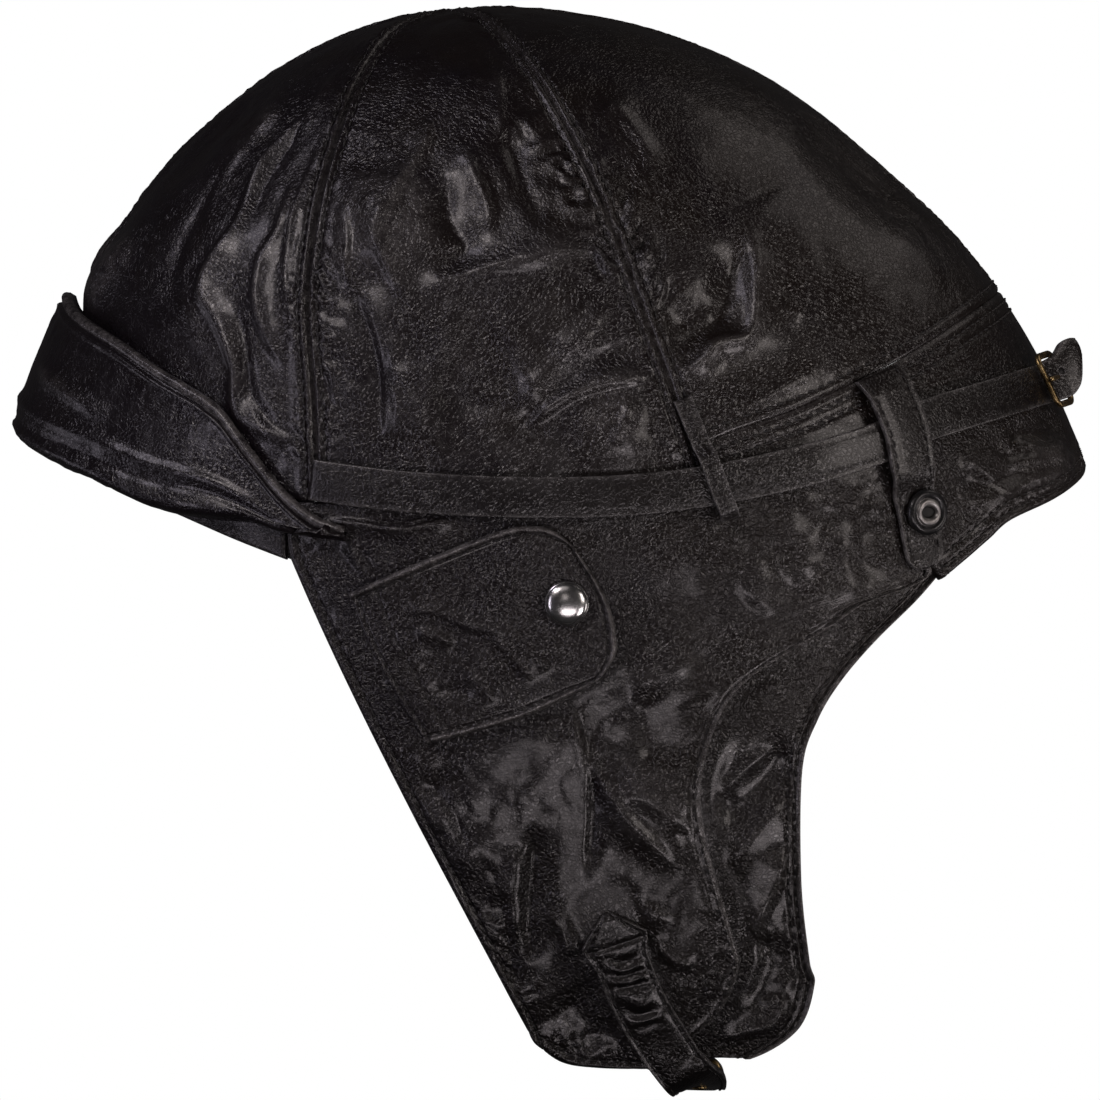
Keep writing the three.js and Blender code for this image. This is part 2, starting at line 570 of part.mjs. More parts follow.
function brimPoint(u, v, outside) {
  const side = 2 * u - 1;
  const { turn, foot, top, stand, topStand } = brimSection(Math.abs(side));
  const height = Math.max(top - foot, BRIM_END_HEIGHT);
  const path = new THREE.CatmullRomCurve3([
    new THREE.Vector3(LAY_GAP, foot - stand * BRIM_UNDERCUT, 0),
    new THREE.Vector3(mix(LAY_GAP, stand, 0.82), foot - stand * BRIM_UNDERCUT * 0.25, 0),
    new THREE.Vector3(stand, foot + BRIM_LEATHER * 0.35, 0),
    new THREE.Vector3(mix(stand, topStand, 0.45), foot + height * 0.45, 0),
    new THREE.Vector3(topStand, foot + height, 0),
  ], false, 'centripetal');
  const share = BRIM_ROWS[Math.round(v * (BRIM_ROWS.length - 1))];
  const spot = path.getPointAt(share);
  const tangent = path.getTangentAt(share);
  const thin = Math.min(BRIM_LEATHER, height * 0.9);
  const inward = outside ? 0 : thin;
  const out = Math.max(spot.x - tangent.y * inward, LAY_GAP);
  const rise = spot.y + tangent.x * inward;
  const onSide = onForm(turn, rise, out);
  return side < 0 ? new THREE.Vector3(onSide.x, -onSide.y, onSide.z) : onSide;
}
const brimOuter = (u, v) => brimPoint(u, v, true);
const brimInner = (u, v) => brimPoint(u, v, false);
addWall('front_brim', 28, BRIM_ROWS.length - 1, brimOuter, brimInner, asItIs);

// Straps and tabs: a ribbon laid on the form along a line, at a height that may change along it
function ribbonSurface(path, widthAt, heightOver) {
  const frame = (v) => {
    const spot = path(v);
    const ahead = path(Math.min(v + 0.002, 1));
    const behind = path(Math.max(v - 0.002, 0));
    const normal = normalAt(spot);
    const across = ahead.clone().sub(behind).cross(normal).normalize();
    return { spot, across };
  };
  return (u, v, offset) => {
    const { spot, across } = frame(v);
    const moved = spot.clone().addScaledVector(across, (u - 0.5) * widthAt(v));
    return snapToForm(moved, heightOver(v) + offset);
  };
}
const onChart = (curve) => (v) => {
  const spot = curve.getPointAt(v);
  return onForm(spot.x, spot.y);
};
const roundEnd = (v, width, length, share = 0.45) => {
  const left = Math.min(v, 1 - v) * length;
  const round = Math.min(left / (width * share), 1);
  return width * Math.max(Math.sqrt(1 - (1 - round) ** 2), 0.25);
};

// Rear strap: the left half runs under the buckle and ends in the free tip, the right half holds it
const buckleTurn = BUCKLE_SPOT.turn * Math.PI;
const strapChart = chartCurve(STRAP_LINE, [new THREE.Vector2(Math.PI, heightAt(0.207))]);
const turnPerLength = 1 / (CROWN_WIDTH / 2 * Math.cos(Math.PI - buckleTurn));
const strapEnd = buckleTurn + BUCKLE_WIRE * turnPerLength;
const strapStart = chartPoint(STRAP_LINE[0]).x;
const strapPath = (from, to) => (v) => {
  const turn = mix(from, to, v);
  const height = heightOnCurve(strapChart, turn > Math.PI ? 2 * Math.PI - turn : turn);
  return onForm(turn, height);
};
const strapHeight = () => LAY_GAP;
const strapWidth = () => STRAP_WIDTH;
const strapLeft = ribbonSurface(strapPath(strapStart, strapEnd), strapWidth, strapHeight);
const tipStart = strapLeft(0.5, 1, 0);
const tipAlong = tipStart.clone().sub(strapLeft(0.5, 0.98, 0)).normalize();
const tipOut = normalAt(tipStart);
function strapWithTip(u, v, offset) {
  const body = 0.86;
  if (v <= body) return strapLeft(u, v / body, offset);
  const share = (v - body) / (1 - body);
  const base = strapLeft(u, 1, offset);
  const middle = strapLeft(0.5, 1, offset);
  const narrow = mix(mix(1, 1.14, smooth(share / 0.8)), 0.5, smooth((share - 0.7) / 0.3));
  return middle.add(base.sub(middle).multiplyScalar(narrow))
    .addScaledVector(tipAlong, TIP_LENGTH * share)
    .addScaledVector(tipOut, TIP_LIFT * smooth(share * 1.1))
    .add(new THREE.Vector3(0, 0, TIP_RAISE * smooth((share - 0.5) * 2)));
}
const strapLeftOuter = (u, v) => strapWithTip(u, v, STRAP_LEATHER);
const strapLeftInner = (u, v) => strapWithTip(u, v, 0);
addWall('rear_strap_left', 2, 26, strapLeftOuter, strapLeftInner, asItIs);
const rightStart = buckleTurn + (BUCKLE_SPAN - BUCKLE_WIRE / 2) * turnPerLength;
const strapRight = ribbonSurface(strapPath(rightStart, 2 * Math.PI - strapStart), strapWidth, strapHeight);
const strapRightOuter = (u, v) => strapRight(u, v, STRAP_LEATHER);
const strapRightInner = (u, v) => strapRight(u, v, 0);
addWall('rear_strap_right', 2, 26, strapRightOuter, strapRightInner, asItIs);

// Belt loops and snap tabs, which bridge the strap
const overStrap = LAY_GAP + STRAP_LEATHER + LAY_GAP;
const bridge = (from, to) => (v) => {
  const rise = smooth((v - from + 0.12) / 0.12) * smooth((to + 0.12 - v) / 0.12);
  return mix(LAY_GAP, overStrap, rise);
};
const loopPath = onChart(chartCurve(LOOP_LINE));
const loop = ribbonSurface(loopPath, () => LOOP_WIDTH, bridge(0.5, 0.92));
const tabPath = onChart(chartCurve(TAB_LINE));
const tabTaper = (v) => mix(TAB_WIDTH * 1.12, TAB_WIDTH * 0.9, v);
const tabWidth = (v) => roundEnd(Math.max(v, 0.5), tabTaper(v), TAB_LENGTH, 0.4);
const tabHeight = bridge(0.1, 0.5);
const tab = ribbonSurface(tabPath, tabWidth, tabHeight);
for (const { side, mirror } of SIDES) {
  addWall(`belt_loop_${side}`, 1, 12, (u, v) => loop(u, v, TAB_LEATHER), (u, v) => loop(u, v, 0), mirror);
  addWall(`snap_tab_${side}`, 2, 16, (u, v) => tab(u, v, TAB_LEATHER), (u, v) => tab(u, v, 0), mirror);
}

// Ear covers, the snap-down pieces with one rounded end
const cover = panelSurface(
  alongCurve(chartCurve(COVER_TOP)), alongCurve(chartCurve(COVER_FOOT)),
  alongCurve(chartCurve(COVER_FRONT)), alongCurve(chartCurve(COVER_BACK)), 'cover');
const coverOuter = (u, v) => cover(u, v, LAY_GAP + COVER_LEATHER);
const coverInner = (u, v) => cover(u, v, LAY_GAP);
for (const { side, mirror } of SIDES) {
  addWall(`ear_cover_${side}`, 8, 6, coverOuter, coverInner, mirror);
}

// Round hardware, turned about its own axis and set square on the leather
function setOn(mesh, spot, offset, mirror) {
  const { along, height } = spot;
  const z = heightAt(height);
  const base = onForm(turnOf(lengthAt(along), z), z);
  const normal = mirror(normalAt(base));
  mesh.position.copy(mirror(base)).addScaledVector(normal, offset);
  mesh.quaternion.setFromUnitVectors(new THREE.Vector3(0, 0, 1), normal);
}
function turnedProfile(points, segments) {
  const lathe = new THREE.LatheGeometry(points.map(([r, z]) => new THREE.Vector2(r, z)), segments);
  lathe.rotateX(Math.PI / 2);
  return lathe;
}
const snapProfile = [[0, 0], [SNAP_RADIUS * 0.92, 0], [SNAP_RADIUS, SNAP_HEIGHT * 0.25]];
for (const angle of [65, 45, 25, 0]) {
  const turn = THREE.MathUtils.degToRad(angle);
  snapProfile.push([
    angle === 0 ? 0 : SNAP_RADIUS * 0.95 * Math.sin(turn),
    SNAP_HEIGHT * mix(0.35, 1, Math.cos(turn))]);
}
const studProfile = [
  [0, 0], [STUD_RADIUS * 0.94, 0], [STUD_RADIUS, STUD_HEIGHT * 0.5], [STUD_RADIUS * 0.8, STUD_HEIGHT],
  [STUD_SOCKET_RADIUS, STUD_HEIGHT * 0.8], [STUD_HOLE_RADIUS * 1.6, STUD_HEIGHT * 1.05],
  [STUD_HOLE_RADIUS, STUD_HEIGHT * 0.95], [STUD_HOLE_RADIUS, STUD_HEIGHT * 0.35], [0, STUD_HEIGHT * 0.35]];
for (const { side, mirror } of SIDES) {
  const snap = addPiece(`ear_snap_${side}`, turnedProfile(snapProfile, 14), nickel());
  setOn(snap, SNAP_SPOT, LAY_GAP * 2 + COVER_LEATHER, mirror);
  const stud = addPiece(`tab_stud_${side}`, turnedProfile(studProfile, 12), blackMetal());
  setOn(stud, STUD_SPOT, LAY_GAP * 2 + TAB_LEATHER, mirror);
}

// Rear buckle: a flat wire frame round the strap, with its prong
function roundedFrame(width, height, wire, depth) {
  const outline = new THREE.Shape();
  const trace = (path, halfWidth, halfHeight, corner) => {
    path.moveTo(-halfWidth + corner, -halfHeight);
    path.lineTo(halfWidth - corner, -halfHeight);
    path.quadraticCurveTo(halfWidth, -halfHeight, halfWidth, -halfHeight + corner);
    path.lineTo(halfWidth, halfHeight - corner);
    path.quadraticCurveTo(halfWidth, halfHeight, halfWidth - corner, halfHeight);
    path.lineTo(-halfWidth + corner, halfHeight);
    path.quadraticCurveTo(-halfWidth, halfHeight, -halfWidth, halfHeight - corner);
    path.lineTo(-halfWidth, -halfHeight + corner);
    path.quadraticCurveTo(-halfWidth, -halfHeight, -halfWidth + corner, -halfHeight);
  };
  trace(outline, width / 2 + wire, height / 2 + wire, wire);
  const hole = new THREE.Path();
  trace(hole, width / 2, height / 2, wire / 2);
  outline.holes.push(hole);
  const solid = new THREE.ExtrudeGeometry(outline, { depth, bevelEnabled: false, curveSegments: 3 });
  solid.translate(0, 0, -depth / 2);
  return solid;
}

function placeFrame(mesh, along, across, normal, position) {
  mesh.quaternion.setFromRotationMatrix(new THREE.Matrix4().makeBasis(along, across, normal));
  mesh.position.copy(position);
}
const buckleMiddle = buckleTurn + (BUCKLE_SPAN + BUCKLE_WIRE) / 2 * turnPerLength;
const buckleBase = onForm(buckleMiddle, heightOnCurve(strapChart, buckleMiddle));
const buckleNormal = normalAt(buckleBase);
const aheadTurn = buckleMiddle + 0.02;
const buckleAhead = onForm(aheadTurn, heightOnCurve(strapChart, aheadTurn)).sub(buckleBase);
const buckleAcross = new THREE.Vector3().crossVectors(buckleNormal, buckleAhead).normalize();
const buckleAlong = new THREE.Vector3().crossVectors(buckleAcross, buckleNormal);
const frameGeometry = roundedFrame(BUCKLE_SPAN, STRAP_WIDTH + LAY_GAP * 3, BUCKLE_WIRE, BUCKLE_WIRE);
const buckle = addPiece('buckle_frame', frameGeometry, oldBrass());
const frameMiddle = overStrap + BUCKLE_WIRE / 2;
const framePlace = buckleBase.clone().addScaledVector(buckleNormal, frameMiddle);
placeFrame(buckle, buckleAlong, buckleAcross, buckleNormal, framePlace);
const prongLength = BUCKLE_SPAN * 0.5;
const prongGeometry = new THREE.CapsuleGeometry(PRONG_WIRE / 2, prongLength, 3, 8);
prongGeometry.rotateZ(Math.PI / 2);
const prong = addPiece('buckle_prong', prongGeometry, oldBrass());
const prongHeight = overStrap + BUCKLE_WIRE + LAY_GAP + PRONG_WIRE / 2;
const prongPlace = buckleBase.clone().addScaledVector(buckleNormal, prongHeight);
prongPlace.addScaledVector(buckleAlong, -BUCKLE_SPAN * 0.52);
placeFrame(prong, buckleAlong, buckleAcross, buckleNormal, prongPlace);

// Chin strap: a whole loop, down the left flap, plainly under the chin and up the right flap
const chinHalf = CHIN_LINE.map(chartPoint).map((spot) => onForm(spot.x, spot.y, LAY_GAP));
const chinEdge = chartPoint({ along: mix(CHIN_LINE.at(-1).along, CHIN_TURN.along, 0.6), height: -1.006 });
const chinBottom = heightAt(CHIN_TURN.height) - CHIN_SAG;
const chinEdgePoint = onForm(chinEdge.x, chinEdge.y, LAY_GAP);
const chinX = lengthAt(CHIN_TURN.along);
chinHalf.push(
  chinEdgePoint,
  new THREE.Vector3(chinX, chinEdgePoint.y * 0.86, heightAt(CHIN_TURN.height)),
  new THREE.Vector3(chinX, chinEdgePoint.y * 0.45, mix(heightAt(CHIN_TURN.height), chinBottom, 0.8)));
const chinOther = chinHalf.map((point) => new THREE.Vector3(point.x, -point.y, point.z)).reverse();
const chinPath = new THREE.CatmullRomCurve3(
  [...chinHalf, new THREE.Vector3(chinX, 0, chinBottom), ...chinOther], false, 'centripetal');
const chinLength = chinPath.getLength();
function chinFrame(v) {
  const spot = chinPath.getPointAt(v);
  const tangent = chinPath.getTangentAt(v);
  const under = smooth((heightAt(-0.93) - spot.z) / (FLAP_DROP * 0.09));
  const fromChin = new THREE.Vector3(0, spot.y, spot.z - heightAt(-0.8)).normalize();
  const wanted = normalAt(spot).lerp(fromChin, under);
  const normal = wanted.addScaledVector(tangent, -wanted.dot(tangent)).normalize();
  return { spot, tangent, normal, across: new THREE.Vector3().crossVectors(tangent, normal) };
}
function chinWidth(v) {
  const fromEnd = Math.min(v, 1 - v) * chinLength;
  if (fromEnd < CHIN_PEAK_LENGTH) {
    return mix(CHIN_PEAK_WIDTH * 0.12, CHIN_PEAK_WIDTH, fromEnd / CHIN_PEAK_LENGTH);
  }
  return mix(CHIN_PEAK_WIDTH, CHIN_STRAP_WIDTH, smooth((fromEnd - CHIN_PEAK_LENGTH) / CHIN_PEAK_LENGTH));
}
const CHIN_ROWS = 38;
function chinPoint(u, v, offset) {
  const peak = CHIN_PEAK_LENGTH / chinLength;
  const body = mix(peak, 1 - peak, (v * CHIN_ROWS - 1) / (CHIN_ROWS - 2));
  const share = v * CHIN_ROWS < 0.5 ? 0 : (v * CHIN_ROWS > CHIN_ROWS - 0.5 ? 1 : body);
  const { spot, normal, across } = chinFrame(share);
  const moved = spot.clone().addScaledVector(across, (u - 0.5) * chinWidth(share));
  const onFlap = spot.z > heightAt(-1);
  if (onFlap) return snapToForm(moved, LAY_GAP + offset);
  return moved.addScaledVector(normal, offset);
}
const chinOuter = (u, v) => chinPoint(u, v, CHIN_STRAP_LEATHER);
const chinInner = (u, v) => chinPoint(u, v, 0);
addWall('chin_strap', 2, CHIN_ROWS, chinOuter, chinInner, asItIs);
const chinBuckleGeometry = roundedFrame(
  CHIN_STRAP_WIDTH + LAY_GAP * 2, CHIN_STRAP_LEATHER + LAY_GAP * 2, CHIN_BUCKLE_WIRE, CHIN_BUCKLE_WIRE * 1.6);
const chinBuckle = addPiece('chin_buckle', chinBuckleGeometry, oldBrass());
const chinSpot = chinFrame(0.6);
placeFrame(
  chinBuckle, chinSpot.across, chinSpot.normal,
  new THREE.Vector3().crossVectors(chinSpot.across, chinSpot.normal),
  chinSpot.spot.clone().addScaledVector(chinSpot.normal, CHIN_STRAP_LEATHER / 2));

export default helmet;
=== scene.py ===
"""Leather flying helmet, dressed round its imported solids.

Lengths are millimetres until a mesh is made.
"""

import bpy
import numpy as np
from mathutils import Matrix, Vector


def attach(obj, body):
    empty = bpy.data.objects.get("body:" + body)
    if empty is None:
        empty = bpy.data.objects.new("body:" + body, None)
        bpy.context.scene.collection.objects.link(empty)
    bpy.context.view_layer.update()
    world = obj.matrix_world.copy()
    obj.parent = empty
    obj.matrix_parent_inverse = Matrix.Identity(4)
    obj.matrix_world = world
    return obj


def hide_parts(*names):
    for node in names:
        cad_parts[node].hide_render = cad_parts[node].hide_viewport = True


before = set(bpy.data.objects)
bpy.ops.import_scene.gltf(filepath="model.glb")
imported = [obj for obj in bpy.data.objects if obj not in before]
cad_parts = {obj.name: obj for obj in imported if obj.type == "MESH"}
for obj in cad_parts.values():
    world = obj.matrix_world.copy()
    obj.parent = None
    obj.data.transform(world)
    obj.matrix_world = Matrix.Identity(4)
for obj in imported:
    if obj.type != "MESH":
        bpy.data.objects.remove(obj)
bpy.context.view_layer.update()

# Main form, the same as the solids'
CROWN_LENGTH, CROWN_WIDTH, CROWN_HEIGHT, FLAP_DROP = 228, 160, 105, 130
APEX_FORWARD, FRONT_TUCK, BACK_TUCK, FLAP_LEAN = 16.4, 6, 5, 24
FRONT_ROUNDNESS, BACK_ROUNDNESS_LOW, BACK_ROUNDNESS_TOP, SIDE_ROUNDNESS = 2.1, 1.45, 1.83, 2.3
TOP_ZONE = 0.985
APEX_ALONG = 0.374

# Leather and clearances
GORE_LEATHER, FLAP_LEATHER, BRIM_LEATHER = 1.6, 1.8, 2.4
STRAP_LEATHER, TAB_LEATHER, COVER_LEATHER, CHIN_STRAP_LEATHER = 1.8, 1.6, 1.8, 2
LAY_GAP = 0.4
SEAM_GAP = 0.06
TIP_GAP = 0.25
OVER_STRAP = LAY_GAP * 2 + STRAP_LEATHER

# Straps, tabs and hardware
BRIM_STANDOFF, BRIM_REST_STANDOFF, BRIM_TOP_STANDOFF = 11.4, 2.9, 2.6
BRIM_UNDERCUT, BRIM_END_HEIGHT = 0.35, 2.6
STRAP_WIDTH, TIP_LENGTH, TIP_LIFT, TIP_RAISE = 9, 11, 5, 5.2
LOOP_WIDTH, TAB_WIDTH, TAB_LENGTH = 4.2, 10.5, 44
SNAP_RADIUS, SNAP_HEIGHT = 4.9, 2.6
BUCKLE_WIRE, BUCKLE_SPAN, PRONG_WIRE, BUCKLE_TURN = 1.5, 10.5, 1.1, 0.9 * np.pi
CHIN_STRAP_WIDTH, CHIN_PEAK_WIDTH, CHIN_PEAK_LENGTH, CHIN_SAG, CHIN_BUCKLE_WIRE = 12, 15, 6, 1.5, 1.8
# The chin strap's hidden stretch lies higher and is narrower, so that its buckle doesn't show below the flap
HIDDEN_LIFT, HIDDEN_NARROWING, CHIN_BUCKLE_SHARE = 2.0, 0.4, 0.6

# Rows of thread: distances from a seam or an edge
SEAM_ROW, SECOND_SEAM_ROW = 2.35, 4.9
HEM_ROW, BEAD_ROW, GUSSET_ROW, GUSSET_LINE = 2.7, 1.7, 1.6, 3.4
NECK_ROW, NECK_LINE = 2.4, 4.8
COVER_ROW, COVER_BEAD_ROW, COVER_INNER_ROW = 1.5, 1.9, 6.2
# Threads finer than the seams': length and radius of a stitch
FINE_THREAD = {"length": 1.7, "radius": 0.22}
COVER_THREAD = {"length": 1.5, "radius": 0.18}
TAB_THREAD = {"length": 1.6, "radius": 0.2}
CHIN_THREAD = {"length": 1.7, "radius": 0.21}
SEAM_SLANT = 0.1
# The paled borders of a band reach this far in; the paling is both rubbing and a painted highlight
BAND_WEAR_AND_SHEEN_REACH = 0.6
SIDES = ("left", "right")

# Lines on the side: shares of the crown length from the front, and heights as shares of the crown or the drop
FRONT_SEAM = [(0.252, -0.034), (0.248, 0.165), (0.242, 0.38), (0.249, 0.533), (0.276, 0.763), (0.312, 0.918)]
REAR_SEAM = [(0.628, -0.024), (0.602, 0.14), (0.571, 0.332), (0.534, 0.548), (0.493, 0.74), (0.451, 0.888)]
NAPE_SEAM = [
    (0.615, 0.063), (0.64, 0.089), (0.715, 0.148), (0.774, 0.207), (0.819, 0.258), (0.887, 0.355),
    (0.915, 0.402)]
FRONT_FOOT = [(0, 0.131), (0.042, 0.08), (0.11, 0.013), (0.179, -0.029), (0.22, -0.038), (0.252, -0.034)]
BELT_LINE = [
    (0.221, -0.038), (0.252, -0.034), (0.33, -0.039), (0.427, -0.043), (0.525, -0.039), (0.628, -0.024),
    (0.71, 0.013), (0.788, 0.063), (0.847, 0.106), (0.915, 0.159), (0.964, 0.195)]
RIM = [(0, 0.047), (0.042, 0), (0.11, -0.056), (0.179, -0.108), (0.227, -0.14)]
STRAP_LINE = [
    (0.248, 0), (0.33, -0.019), (0.427, -0.029), (0.525, -0.029), (0.613, -0.015), (0.71, 0.023),
    (0.788, 0.072), (0.842, 0.125), (0.915, 0.173), (0.955, 0.2)]
FLAP_FRONT = [
    (0.221, -0.041), (0.223, -0.116), (0.234, -0.171), (0.3, -0.418), (0.383, -0.7), (0.461, -0.956)]
FLAP_FOOT = [(0.461, -0.956), (0.488, -0.99), (0.525, -1), (0.579, -1.002)]
TAB_SEAM = [(0.811, 0.076), (0.819, -0.034), (0.83, -0.111), (0.845, -0.162)]
GUSSET_SEAM = [
    (0.838, -0.13), (0.784, -0.208), (0.749, -0.249), (0.675, -0.331), (0.644, -0.399), (0.625, -0.507),
    (0.629, -0.608), (0.657, -0.783), (0.662, -0.829), (0.641, -0.911), (0.579, -1.002)]
GUSSET_EDGE = [
    (0.862, -0.157), (0.838, -0.205), (0.798, -0.273), (0.764, -0.341), (0.74, -0.41), (0.725, -0.495),
    (0.724, -0.683), (0.732, -0.819), (0.737, -0.862), (0.72, -0.939), (0.666, -0.992), (0.585, -1.002)]
GUSSET_SHARE, GUSSET_LAP = 0.985, 0.18
NECK_FOOT = [
    (0.856, -0.171), (0.88, -0.137), (0.903, -0.102), (0.926, -0.068), (0.967, -0.034), (0.992, -0.003)]
NECK_FOOT_BACK = 0.027
COVER_TOP = [
    (0.285, -0.191), (0.367, -0.128), (0.431, -0.085), (0.461, -0.078), (0.481, -0.087), (0.499, -0.111)]
COVER_BACK = [(0.499, -0.111), (0.531, -0.2), (0.541, -0.278), (0.534, -0.314), (0.523, -0.338)]
COVER_FOOT = [(0.359, -0.447), (0.437, -0.41), (0.476, -0.382), (0.523, -0.338)]
COVER_FRONT = [(0.285, -0.191), (0.304, -0.278), (0.325, -0.348), (0.359, -0.447)]
TAB_LINE = [(0.789, 0.22), (0.812, 0.106), (0.82, 0.021), (0.829, -0.055), (0.834, -0.111), (0.839, -0.15)]
LOOP_LINE = [(0.603, 0.169), (0.619, 0.085), (0.634, 0), (0.649, -0.068)]
CHIN_LINE = [(0.531, -0.732), (0.544, -0.802), (0.564, -0.887), (0.595, -0.973)]
CHIN_TURN = (0.62, -1.014)
SNAP_SPOT = (0.493, -0.208)
STUD_SPOT = (0.834, -0.055)

# Brim sections: share of the half turn, foot and top heights, and share of the stand-off
BRIM_SECTIONS = np.array([
    (0, 0.106, 0.385, 1), (0.067, 0.075, 0.352, 0.93),
    (0.155, 0.012, 0.292, 0.7), (0.212, -0.035, 0.226, 0.5),
    (0.262, -0.055, 0.157, 0.33), (0.288, -0.062, 0.07, 0.22), (0.31, -0.08, -0.008, 0.12),
    (0.333, -0.09, -0.056, 0.05), (0.356, -0.098, -0.08, 0)])
